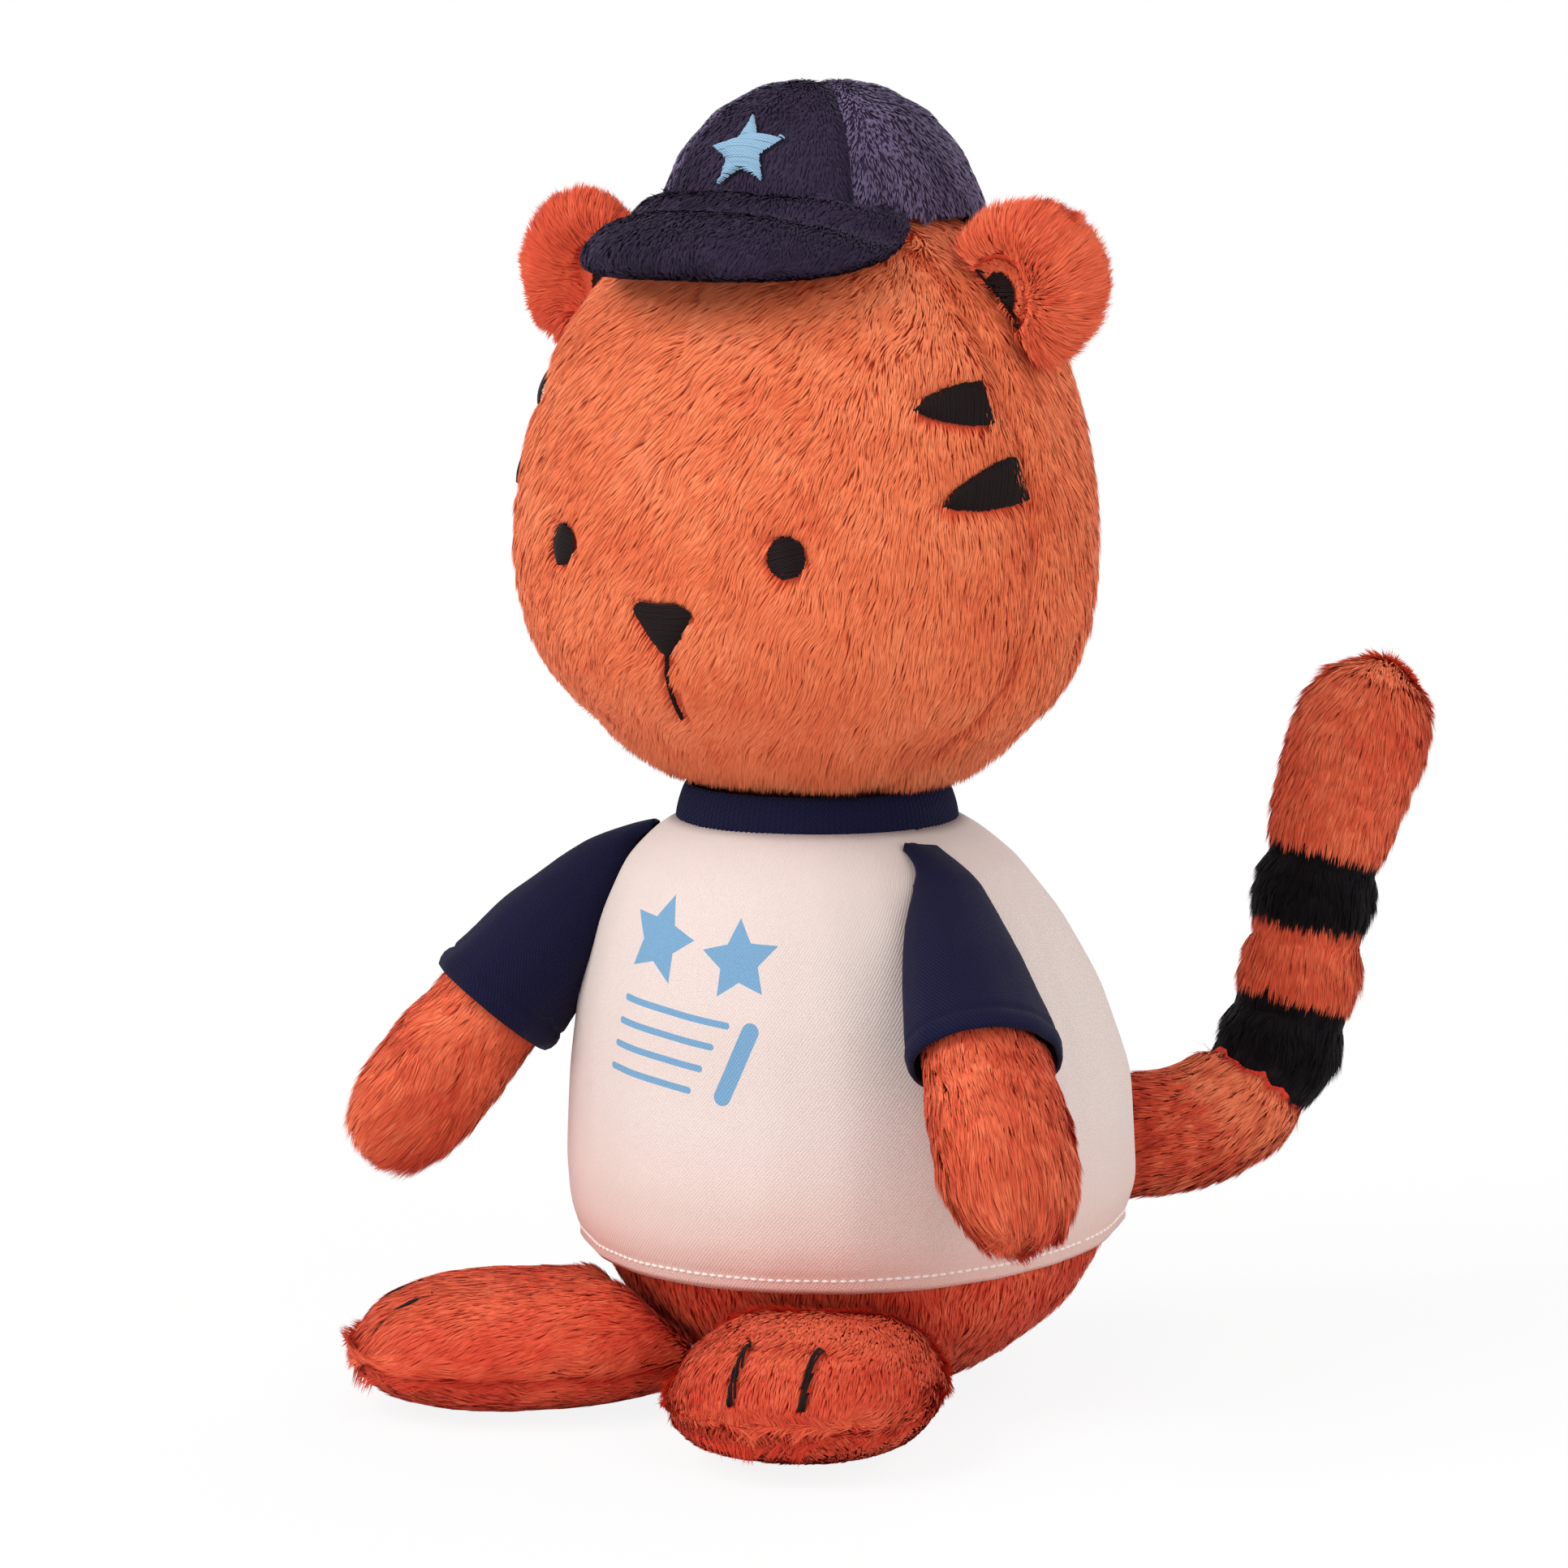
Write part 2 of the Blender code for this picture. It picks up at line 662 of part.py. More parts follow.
# Ears: a cupped pad sewn into each side seam, with a black patch inside
for side, word in ((1, "left"), (-1, "right")):
    ear_centre = Vector((side * EAR_OUT, -EAR_FORWARD, head_bottom + EAR_RISE))
    ear_frame = facing(ear_centre, (side * math.sin(EAR_TURN), -math.cos(EAR_TURN), 0.0))

    def ear_place(share, angle, frame=ear_frame):
        """A point of the ear, fuller at the back than at the front."""
        tilt = math.pi * (share - 0.5)
        reach = EAR_RADIUS * math.cos(tilt)
        fullness = EAR_FRONT_SHARE if tilt > 0 else 1 - EAR_FRONT_SHARE
        depth = EAR_THICKNESS * fullness * math.sin(tilt)
        return frame @ Vector((reach * math.cos(angle), reach * math.sin(angle), depth))

    ear = add_object(
        "ear_" + word, swollen(EAR_RINGS, EAR_SEGMENTS, ear_place), ORANGE_PLUSH, head_pivot
    )
    combine(ear, "DIFFERENCE", head_outside)
    ear_under = add_object(
        "ear_under_" + word, swollen(EAR_RINGS, EAR_SEGMENTS, ear_place, SEAM_GAP)
    )
    ear_over = add_object(
        "ear_over_" + word,
        swollen(EAR_RINGS, EAR_SEGMENTS, ear_place, SEAM_GAP + THREAD_HEIGHT),
    )
    patch_shift = Vector((-side * EAR_PATCH_INWARD, -EAR_PATCH_DROP, STITCH_REACH))
    patch = stitched(
        "ear_patch_" + word, oval(EAR_PATCH_WIDTH, EAR_PATCH_HEIGHT),
        ear_frame @ Matrix.Translation(patch_shift), ear_under, ear_over, BLACK_THREAD, head_pivot,
    )
    combine(patch, "DIFFERENCE", thread_outside)

# Face: eyes, nose, mouth line and cheek stripes in satin stitch
for side, word in ((1, "left"), (-1, "right")):
    spot, outward = head_spot(side * EYE_OUT, head_bottom + EYE_RISE)
    stitched(
        "eye_" + word, oval(EYE_WIDTH, EYE_TALL), facing(spot, outward),
        head_outside, thread_outside, BLACK_THREAD, head_pivot,
    )
    for number, (turn, rise, length, tall, slope) in enumerate(
        zip(STRIPE_TURNS, STRIPE_RISES, STRIPE_LENGTHS, STRIPE_TALLS, STRIPE_SLOPES), start=1
    ):
        outward = Vector((side * math.sin(turn), -math.cos(turn), 0.0))
        level = head_bottom + rise
        girth = head_girth(level)
        spot = head_spot(side * girth * HEAD_HALF_WIDTH * math.sin(turn), level)[0]
        frame = facing(spot, outward) @ Matrix.Rotation(side * slope, 4, "Z")
        points = [(side * across, up) for across, up in scaled(STRIPE_SHARES, length, tall)]
        stitched(
            f"cheek_stripe_{word}_{number}", points, frame,
            head_outside, thread_outside, BLACK_THREAD, head_pivot,
        )

nose_level = head_bottom + NOSE_RISE
mouth_top = head_bottom + MOUTH_RISE
nose_spot, nose_outward = head_spot(0.0, nose_level)
stitched(
    "nose", scaled(NOSE_SHARES, NOSE_WIDTH, NOSE_TALL), facing(nose_spot, nose_outward),
    head_outside, thread_outside, BLACK_THREAD, head_pivot,
)
mouth_side = scaled(MOUTH_SHARES, MOUTH_WIDTH, MOUTH_TALL)
mouth_points = [(across + MOUTH_WIDTH / 2, up) for across, up in mouth_side]
mouth_points += [(across - MOUTH_WIDTH / 2, up) for across, up in reversed(mouth_side)]
mouth_frame = facing(
    (0.0, nose_spot.y, mouth_top - (nose_level - NOSE_TALL / 2 - mouth_top)), (0.0, -1.0, 0.0)
)
stitched(
    "mouth_line", mouth_points, mouth_frame,
    head_outside, thread_outside, BLACK_THREAD, head_pivot,
)

# Cap: four crown panels over a pad of wadding, a puffed brim, and a stitched star
crown_top = crown_base + CROWN_RISE


def crown_place(share, angle):
    """A point of the crown, a dome above its widest ring and drawn in below."""
    tilt = math.pi * (share - 0.5)
    reach = CROWN_RADIUS * max(0.0, math.cos(tilt)) ** CROWN_SECTION_POWER_SHARE
    rise = CROWN_RISE * math.sin(tilt)
    return Vector((
        reach * math.cos(angle), reach * math.sin(angle) - CROWN_FORWARD, crown_base + rise
    ))


crown_words = ("left", "back", "right", "front")
for quarter, word in enumerate(crown_words):
    crown = add_object(
        "cap_crown_" + word,
        swollen(CROWN_RINGS, CROWN_SEGMENTS, crown_place),
        CAP_PLUSH,
        head_pivot,
    )
    give_wall(crown, SKIN_WALL)
    quarter_turn = turn_about(
        "Z", CROWN_TURN + (quarter - 1) * math.pi / 2, (0.0, -CROWN_FORWARD, 0.0)
    )
    wedge = placed_block(
        "crown_wedge_" + word,
        (SEAM_GAP / 2, -CROWN_FORWARD + SEAM_GAP / 2, crown_base),
        (OVERRUN, OVERRUN, crown_top + OVERRUN),
        quarter_turn,
    )
    combine(crown, "INTERSECT", wedge)
    combine(crown, "DIFFERENCE", head_outside)

crown_pad = add_object(
    "cap_crown_pad",
    swollen(CROWN_RINGS, CROWN_SEGMENTS, crown_place, -SKIN_WALL - SEAM_GAP),
    STUFFING_WHITE,
    head_pivot,
)
above_rim = block(
    "above_rim",
    (-OVERRUN, -OVERRUN, crown_base),
    (OVERRUN, OVERRUN, crown_top + OVERRUN),
)
combine(crown_pad, "INTERSECT", above_rim)
combine(crown_pad, "DIFFERENCE", head_outside)

crown_outside = add_object(
    "crown_outside", swollen(CROWN_RINGS, CROWN_SEGMENTS, crown_place, SEAM_GAP)
)
emblem_outside = add_object(
    "emblem_outside",
    swollen(CROWN_RINGS, CROWN_SEGMENTS, crown_place, SEAM_GAP + THREAD_HEIGHT),
)


def brim_place(share, angle):
    """A point of the brim: a puffed oval that droops towards its sides."""
    tilt = math.pi * (share - 0.5)
    reach = max(0.0, math.cos(tilt)) ** BRIM_SECTION_POWER_SHARE
    across = reach * math.cos(angle)
    along = reach * math.sin(angle)
    droop = -BRIM_DROP * across * across
    flat = Vector((
        BRIM_WIDTH / 2 * across,
        BRIM_LENGTH / 2 * along,
        BRIM_THICKNESS / 2 * math.sin(tilt) + droop,
    ))
    slope = Matrix.Rotation(BRIM_SLOPE, 4, "X")
    return slope @ flat + Vector((0.0, -BRIM_CENTRE_FORWARD, crown_base + BRIM_CENTRE_RISE))


brim = add_object(
    "cap_brim", swollen(BRIM_RINGS, BRIM_SEGMENTS, brim_place), CAP_PLUSH, head_pivot
)
combine(brim, "DIFFERENCE", crown_outside)
combine(brim, "DIFFERENCE", head_outside)
combine(brim, "INTERSECT", block(
    "brim_span",
    (-OVERRUN, -OVERRUN, 0.0),
    (OVERRUN, -CROWN_FORWARD - CROWN_RADIUS * BRIM_ROOT_SHARE, crown_top),
))

star = []
for corner in range(2 * STAR_POINTS):
    turn = math.pi / 2 + EMBLEM_TILT + corner * math.pi / STAR_POINTS
    reach = EMBLEM_SIZE / 2 * (1.0 if corner % 2 == 0 else STAR_INNER_SHARE)
    star.append((reach * math.cos(turn), reach * math.sin(turn)))
emblem_tilt = math.asin(EMBLEM_RISE_SHARE)
emblem_outward = (0.0, -math.cos(emblem_tilt), math.sin(emblem_tilt))
emblem_spot = (
    0.0,
    -CROWN_FORWARD - CROWN_RADIUS * math.cos(emblem_tilt),
    crown_base + EMBLEM_RISE_SHARE * CROWN_RISE,
)
stitched(
    "cap_emblem", star, facing(emblem_spot, emblem_outward),
    crown_outside, emblem_outside, BLUE_THREAD, head_pivot,
)

# Arms: a flat stuffed paw arm pinched at the shoulder seam, in a short raglan sleeve
for side, word in ((-1, "right"), (1, "left")):
    shoulder = Vector((side * SHOULDER_OUT, -SHOULDER_FORWARD, TORSO_HEIGHT - SHOULDER_DROP))
    seam_top = shoulder + Vector((-side * ARM_SEAM_INWARD, 0.0, ARM_SEAM_RISE))
    arm_pivot = add_pivot("arm_lift_axis_" + word, seam_top)
    along = Vector((
        side * math.sin(ARM_SPREAD) * math.cos(ARM_REACH_FORWARD),
        -math.sin(ARM_REACH_FORWARD),
        -math.cos(ARM_SPREAD) * math.cos(ARM_REACH_FORWARD),
    ))
    outward = Vector((side * math.cos(ARM_SPREAD), 0.0, math.sin(ARM_SPREAD)))
    outward = (outward - outward.dot(along) * along).normalized()
    across = outward.cross(along)
    arm_frame = Matrix((across, outward, along)).transposed().to_4x4()
    arm_frame = Matrix.Translation(shoulder) @ arm_frame

    def arm_place(share, angle, frame=arm_frame):
        """A point of the arm, whose middle line bows away from the body."""
        distance, width, thick = row_at(ARM_SHARES, share)
        bow = ARM_BOW_SHARE * math.sin(math.pi * max(0.0, min(1.0, distance)))
        return frame @ Vector((
            width * ARM_WIDTH / 2 * math.cos(angle),
            thick * ARM_THICKNESS / 2 * math.sin(angle) + bow * ARM_LENGTH,
            distance * ARM_LENGTH,
        ))

    arm_skin = add_object(
        "arm_skin_" + word,
        swollen(ARM_RINGS, ARM_SEGMENTS, arm_place, open_start=True),
        ORANGE_PLUSH,
        arm_pivot,
    )
    give_wall(arm_skin, SKIN_WALL)
    combine(arm_skin, "DIFFERENCE", shirt_outside)
    arm_stuffing = add_object(
        "arm_stuffing_" + word,
        swollen(ARM_RINGS, ARM_SEGMENTS, arm_place, -SKIN_WALL - SEAM_GAP),
        STUFFING_WHITE,
        arm_pivot,
    )
    combine(arm_stuffing, "DIFFERENCE", shirt_outside)
    sleeve = add_object(
        "sleeve_" + word,
        swollen(ARM_RINGS, ARM_SEGMENTS, arm_place, SEAM_GAP + KNIT_WALL, open_end=True),
        NAVY_KNIT,
        arm_pivot,
    )
    give_wall(sleeve, KNIT_WALL)
    combine(sleeve, "INTERSECT", placed_block(
        "sleeve_span_" + word, (-OVERRUN, -OVERRUN, -OVERRUN), (OVERRUN, OVERRUN, SLEEVE_LENGTH),
        arm_frame,
    ))
    combine(sleeve, "DIFFERENCE", shirt_outside)

# Feet: an upper and a sole sewn round a seam, a stuffing, and two toe stitches on the upper
torso_outside = add_object("torso_outside", torso_mesh(SEAM_GAP))
for side, word, foot_out, foot_forward, splay in (
    (-1, "right", FOOT_OUTS[0], FOOT_FORWARDS[0], FOOT_SPLAYS[0]),
    (1, "left", FOOT_OUTS[1], FOOT_FORWARDS[1], FOOT_SPLAYS[1]),
):
    toe_way = Vector((side * math.sin(splay), -math.cos(splay), 0.0))
    foot_centre = Vector((side * foot_out, -foot_forward, FOOT_SEAM_HEIGHT))
    side_way = toe_way.cross(Vector((0.0, 0.0, 1.0)))
    foot_frame = Matrix((side_way, toe_way, Vector((0.0, 0.0, 1.0)))).transposed().to_4x4()
    foot_frame = Matrix.Translation(foot_centre) @ foot_frame
    foot_pivot = add_pivot("foot_drop_axis_" + word, toe_way * FOOT_PIVOT_FORWARD)

    def foot_place(share, angle, frame=foot_frame):
        """A point of the foot: a broad paddle, narrower at the heel, with a seam round its rim."""
        tilt = math.pi * (share - 0.5)
        reach = max(0.0, math.cos(tilt)) ** FOOT_SECTION_POWER_SHARE
        cosine, sine = math.cos(angle), math.sin(angle)
        wide = math.copysign(abs(cosine) ** FOOT_PLAN_POWER_SHARE, cosine)
        long = math.copysign(abs(sine) ** FOOT_PLAN_POWER_SHARE, sine)
        heel = 1 - FOOT_HEEL_SHARE * max(0.0, -long)
        above = FOOT_TOP_HEIGHT - FOOT_SEAM_HEIGHT
        below = FOOT_SEAM_HEIGHT + FLOOR_CUT
        return frame @ Vector((
            reach * wide * heel * FOOT_WIDTH / 2,
            reach * long * FOOT_LENGTH / 2,
            math.sin(tilt) * (above if tilt > 0 else below),
        ))

    top_span = block(
        "foot_upper_span_" + word,
        (-OVERRUN, -OVERRUN, FOOT_SEAM_HEIGHT + SEAM_GAP / 2),
        (OVERRUN, OVERRUN, OVERRUN),
    )
    sole_span = block(
        "foot_sole_span_" + word,
        (-OVERRUN, -OVERRUN, 0.0),
        (OVERRUN, OVERRUN, FOOT_SEAM_HEIGHT - SEAM_GAP / 2),
    )
    for cloth_name, cloth_span in (("foot_upper_", top_span), ("foot_sole_", sole_span)):
        cloth = add_object(
            cloth_name + word, swollen(FOOT_RINGS, FOOT_SEGMENTS, foot_place), ORANGE_PLUSH,
            foot_pivot,
        )
        give_wall(cloth, SKIN_WALL)
        combine(cloth, "INTERSECT", cloth_span)
        combine(cloth, "DIFFERENCE", torso_outside)
    foot_stuffing = add_object(
        "foot_stuffing_" + word,
        swollen(FOOT_RINGS, FOOT_SEGMENTS, foot_place, -SKIN_WALL - SEAM_GAP),
        STUFFING_WHITE,
        foot_pivot,
    )
    combine(foot_stuffing, "DIFFERENCE", torso_outside)
    foot_under = add_object(
        "foot_under_" + word, swollen(FOOT_RINGS, FOOT_SEGMENTS, foot_place, SEAM_GAP)
    )
    foot_over = add_object(
        "foot_over_" + word,
        swollen(FOOT_RINGS, FOOT_SEGMENTS, foot_place, SEAM_GAP + THREAD_HEIGHT),
    )
    half_stitch = TOE_STITCH_LENGTH / 2
    half_thread = TOE_STITCH_WIDTH / 2
    stitch_outline = (
        (-half_thread, -half_stitch), (half_thread, -half_stitch),
        (half_thread, half_stitch), (-half_thread, half_stitch),
    )
    for number, sign in enumerate((-1, 1), start=1):
        stitch_spot = Vector((
            sign * TOE_STITCH_SPACING / 2,
            FOOT_LENGTH / 2 - TOE_STITCH_BACK,
            FOOT_TOP_HEIGHT - FOOT_SEAM_HEIGHT,
        ))
        stitched(
            f"toe_stitch_{word}_{number}", stitch_outline,
            foot_frame @ Matrix.Translation(stitch_spot), foot_under, foot_over,
            BLACK_THREAD, foot_pivot,
        )

# Tail: five lengths of plush tube in two stuffed parts, pinched where it is sewn to the back
tail_root = Vector((0.0, TORSO_RADIUS + TAIL_ROOT_GAP, TAIL_ROOT_HEIGHT))
tail_turn = Matrix.Rotation(-TAIL_SWING, 4, "Z")
tail_pivot = add_pivot("tail_swing_axis", tail_root)
tail_frame = Matrix.Translation(tail_root) @ tail_turn


def tail_middle(share):
    """The middle line of the tail, in the upright plane that it swings in."""
    reach, rise = smooth_at(TAIL_LINE_SHARES, share)
    places, girths = zip(*TAIL_GIRTH_SHARES)
    return Vector((0.0, reach * TAIL_REACH, rise * TAIL_RISE)), float(np.interp(share, places, girths))


def tail_way(share):
    """The direction of the middle line."""
    step = 0.5 / TAIL_RINGS
    before = tail_middle(max(0.0, share - step))[0]
    after = tail_middle(min(1.0, share + step))[0]
    return (after - before).normalized()


def tail_place(here, angle, girth_share=1.0, ahead=0.0):
    """A point of the tail skin at a share of its length, drawn in or moved ahead for an end."""
    middle, girth = tail_middle(here)
    forward = tail_way(here)
    across = Vector((1.0, 0.0, 0.0))
    up = across.cross(forward)
    for seam in TAIL_BAND_SHARES:
        near = (here - seam) / TAIL_SEAM_SPREAD_SHARE
        girth -= TAIL_SEAM_WAIST_SHARE * math.exp(-near * near)
    pinch = min(1.0, here / TAIL_PINCH_LENGTH_SHARE)
    half_width = TAIL_PINCH + (girth * TAIL_RADIUS - TAIL_PINCH) * math.sin(pinch * math.pi / 2)
    return tail_frame @ (
        middle
        + forward * (ahead * girth * TAIL_RADIUS)
        + across * (girth_share * half_width * math.cos(angle))
        + up * (girth_share * girth * TAIL_RADIUS * math.sin(angle))
    )


def tube(start, end, swell=0.0, start_kind="open", end_kind="open"):
    """A length of the tail. Each end is open, flat, a ball, or the tip."""
    ball_rings = BALL_RINGS if start_kind == "ball" else 1
    tube_rings = max(2, round((end - start) * TAIL_RINGS))
    rings = ball_rings + tube_rings + (0 if end_kind == "tip" else 1)

    def place(share, angle):
        ring = round(share * rings)
        if ring < ball_rings:
            tilt = math.pi / 2 * (1 - ring / ball_rings)
            ahead = -math.sin(tilt) if start_kind == "ball" else 0.0
            return tail_place(start, angle, math.cos(tilt), ahead)
        if ring == rings and end_kind != "tip":
            return tail_place(end, angle, 0.0)
        return tail_place(start + (end - start) * (ring - ball_rings) / tube_rings, angle)

    return swollen(
        rings, TAIL_SEGMENTS, place, swell, start_kind == "open", end_kind == "open"
    )


curl_share, band_1_end, middle_end, band_2_end = TAIL_BAND_SHARES
half_gap = TAIL_GAP_SHARE / 2
curl_spot = tail_frame @ tail_middle(curl_share)[0]
tail_curl_pivot = add_pivot("tail_curl_axis", curl_spot)
tail_curl_pivot.parent = tail_pivot
tail_curl_pivot.matrix_parent_inverse = tail_pivot.matrix_world.inverted()
bpy.context.view_layer.update()

curl_waist = (tail_middle(curl_share)[1] - TAIL_SEAM_WAIST_SHARE) * TAIL_RADIUS
cup_shape = bmesh.new()
bmesh.ops.create_uvsphere(
    cup_shape, u_segments=CUP_SEGMENTS, v_segments=CUP_RINGS, radius=curl_waist + CURL_CLEARANCE
)
cup_mesh = bpy.data.meshes.new("tail_cup")
cup_shape.to_mesh(cup_mesh)
cup_shape.free()
cup_mesh.transform(Matrix.Translation(curl_spot))
tail_cup = add_object("tail_cup", cup_mesh)

base_end = curl_share - TAIL_CURL_GAP_SHARE
tail_base = add_object(
    "tail_base", tube(0.0, base_end, 0.0, "flat", "flat"), ORANGE_PLUSH, tail_pivot
)
combine(tail_base, "DIFFERENCE", add_object(
    "tail_base_hollow", tube(TAIL_HOLLOW_SHARE, base_end + half_gap, -SKIN_WALL, "flat", "flat")
))
combine(tail_base, "DIFFERENCE", tail_cup)
tail_base_stuffing = add_object(
    "tail_base_stuffing",
    tube(TAIL_HOLLOW_SHARE + half_gap, base_end, -SKIN_WALL - STUFFING_EASE, "flat", "flat"),
    STUFFING_WHITE,
    tail_pivot,
)
combine(tail_base_stuffing, "DIFFERENCE", tail_cup)

tail_lengths = (
    ("tail_band_1", curl_share, band_1_end - half_gap, "ball", "open", BLACK_PLUSH),
    ("tail_middle", band_1_end + half_gap, middle_end - half_gap, "open", "open", ORANGE_PLUSH),
    ("tail_band_2", middle_end + half_gap, band_2_end - half_gap, "open", "open", BLACK_PLUSH),
    ("tail_tip", band_2_end + half_gap, 1.0, "open", "tip", ORANGE_PLUSH),
)
for length_name, start, end, start_kind, end_kind, finish in tail_lengths:
    length = add_object(
        length_name, tube(start, end, 0.0, start_kind, end_kind), finish, tail_curl_pivot
    )
    give_wall(length, SKIN_WALL)
tail_stuffing = add_object(
    "tail_stuffing",
    tube(curl_share, 1.0, -SKIN_WALL - STUFFING_EASE, "ball", "tip"),
    STUFFING_WHITE,
    tail_curl_pivot,
)
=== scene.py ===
import json
import math
from functools import partial, reduce

import bmesh
import bpy
import numpy as np
from mathutils import Matrix, Vector
from mathutils.bvhtree import BVHTree
from mathutils.kdtree import KDTree

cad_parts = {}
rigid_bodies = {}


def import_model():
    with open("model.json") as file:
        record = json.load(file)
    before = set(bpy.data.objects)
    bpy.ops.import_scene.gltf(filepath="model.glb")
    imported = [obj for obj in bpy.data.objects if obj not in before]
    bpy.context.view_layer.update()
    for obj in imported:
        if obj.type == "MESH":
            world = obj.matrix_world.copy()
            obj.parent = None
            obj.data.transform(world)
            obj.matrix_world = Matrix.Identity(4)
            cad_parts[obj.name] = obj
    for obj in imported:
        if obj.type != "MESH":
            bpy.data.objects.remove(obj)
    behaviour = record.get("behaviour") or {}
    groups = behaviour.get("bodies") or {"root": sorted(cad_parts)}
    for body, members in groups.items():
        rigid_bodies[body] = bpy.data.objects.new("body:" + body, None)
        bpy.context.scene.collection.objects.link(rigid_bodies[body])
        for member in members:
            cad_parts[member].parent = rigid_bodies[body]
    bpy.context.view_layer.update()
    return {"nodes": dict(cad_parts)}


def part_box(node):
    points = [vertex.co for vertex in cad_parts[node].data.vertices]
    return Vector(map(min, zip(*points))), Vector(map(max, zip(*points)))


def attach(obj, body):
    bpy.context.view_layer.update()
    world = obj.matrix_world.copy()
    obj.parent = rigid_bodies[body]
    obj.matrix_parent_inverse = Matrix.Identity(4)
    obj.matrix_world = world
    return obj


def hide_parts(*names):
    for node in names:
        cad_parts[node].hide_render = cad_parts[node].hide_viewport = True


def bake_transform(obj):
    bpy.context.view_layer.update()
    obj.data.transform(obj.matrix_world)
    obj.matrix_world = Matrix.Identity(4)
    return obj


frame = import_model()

nodes = frame["nodes"]

# The studio: a pale sweep of floor, a large soft lamp high on the toy's right, weak ones on its
# left and behind it, and white all round. The camera stands to the toy's left, as high as its head.
CAMERA_PLACE = (0.7548697, -1.16239741, 0.332)
CAMERA_RIGHT = Vector((0.83234868, 0.55425235, 0.0))
CAMERA_UP = Vector((-0.07501074, 0.11264741, 0.99079965))
CAMERA_LENS, CAMERA_SENSOR, CAMERA_REACH = 135.88, 36.0, 20.0
LAMPS = (
    ("key_lamp", (-0.75, -1.35, 1.35), 1.1, 24.0),
    ("fill_lamp", (1.50, -0.70, 0.70), 1.2, 8.0),
    ("back_lamp", (0.30, 1.50, 1.20), 1.2, 8.0),
)
LAMP_AIM = Vector((0.0, -0.01, 0.15))
SKY_LEVEL = 0.66
FLOOR_SIZE, FLOOR_DROP = 60.0, 0.0002
FLOOR_GREY = (0.86, 0.86, 0.86)
FLOOR_FADE, FLOOR_WHITE = (0.18, 0.70), (0.88, 1.0)
WHITE = (1.0, 1.0, 1.0)

scene = bpy.context.scene
scene.view_settings.view_transform = "Standard"


def linked(name, data):
    """A new object in the scene."""
    made = bpy.data.objects.new(name, data)
    scene.collection.objects.link(made)
    return made


camera_data = bpy.data.cameras.new("photo_camera")
camera_data.lens = CAMERA_LENS
camera_data.sensor_width = CAMERA_SENSOR
camera_data.clip_end = CAMERA_REACH
camera_turn = Matrix((CAMERA_RIGHT, CAMERA_UP, CAMERA_RIGHT.cross(CAMERA_UP))).transposed()
camera = linked("photo_camera", camera_data)
camera.matrix_world = Matrix.Translation(CAMERA_PLACE) @ camera_turn.to_4x4()
scene.camera = camera

for lamp_name, lamp_place, lamp_size, lamp_power in LAMPS:
    lamp_data = bpy.data.lights.new(lamp_name, "AREA")
    lamp_data.size = lamp_size
    lamp_data.energy = lamp_power
    lamp = linked(lamp_name, lamp_data)
    lamp.location = lamp_place
    lamp.rotation_euler = (LAMP_AIM - Vector(lamp_place)).to_track_quat("-Z", "Y").to_euler()


def feed(tree, made, feeds):
    """Sets a node's sockets: each to a plain value or to another node's output."""
    for place, value in feeds.items():
        socket = made.inputs[place]
        if isinstance(value, bpy.types.NodeSocket):
            tree.links.new(value, socket)
        else:
            socket.default_value = (*value, 1.0) if socket.type == "RGBA" else value


def new_node(tree, kind, feeds=(), **settings):
    """A new node with its settings."""
    made = tree.nodes.new("ShaderNode" + kind)
    for word, value in settings.items():
        setattr(made, word, value)
    feed(tree, made, dict(feeds))
    return made


def maths(tree, operation, *values):
    """One sum in a node tree."""
    return new_node(tree, "Math", enumerate(values), operation=operation).outputs[0]


def white_seen(tree, lit, white, share, end):
    """White where the camera or a reflection looks, by this share, over how the thing is lit."""
    rays = new_node(tree, "LightPath").outputs
    seen = maths(tree, "MAXIMUM", rays["Is Camera Ray"], rays["Is Glossy Ray"])
    seen = maths(tree, "MAXIMUM", seen, rays["Is Transmission Ray"])
    share = maths(tree, "MULTIPLY", seen, share)
    mix = new_node(tree, "MixShader", {0: share, 1: lit.outputs[0], 2: white.outputs[0]})
    feed(tree, tree.nodes[end], {0: mix.outputs[0]})


sky = bpy.data.worlds.new("studio")
sky.use_nodes = True
scene.world = sky
sky_tree = sky.node_tree
sky_light = sky_tree.nodes["Background"]
feed(sky_tree, sky_light, {"Color": WHITE, "Strength": SKY_LEVEL})
sky_white = new_node(sky_tree, "Background", {"Color": WHITE, "Strength": 1.0})
white_seen(sky_tree, sky_light, sky_white, 1.0, "World Output")


def finish_of(name, colour, roughness, specular=0.15, sheen=0.0, sheen_tint=WHITE):
    """A new material, with its tree and its shader."""
    made = bpy.data.materials.new(name)
    made.use_nodes = True
    shader = made.node_tree.nodes["Principled BSDF"]
    feed(made.node_tree, shader, {
        "Base Color": colour, "Roughness": roughness, "Specular IOR Level": specular,
        "Sheen Weight": sheen, "Sheen Roughness": 0.4, "Sheen Tint": sheen_tint,
    })
    return made, made.node_tree, shader


def pick_up(piece=None):
    """Nothing is selected, or the piece alone is selected and active."""
    for shown in bpy.context.view_layer.objects:
        shown.select_set(False)
    if piece:
        piece.select_set(True)
        bpy.context.view_layer.objects.active = piece


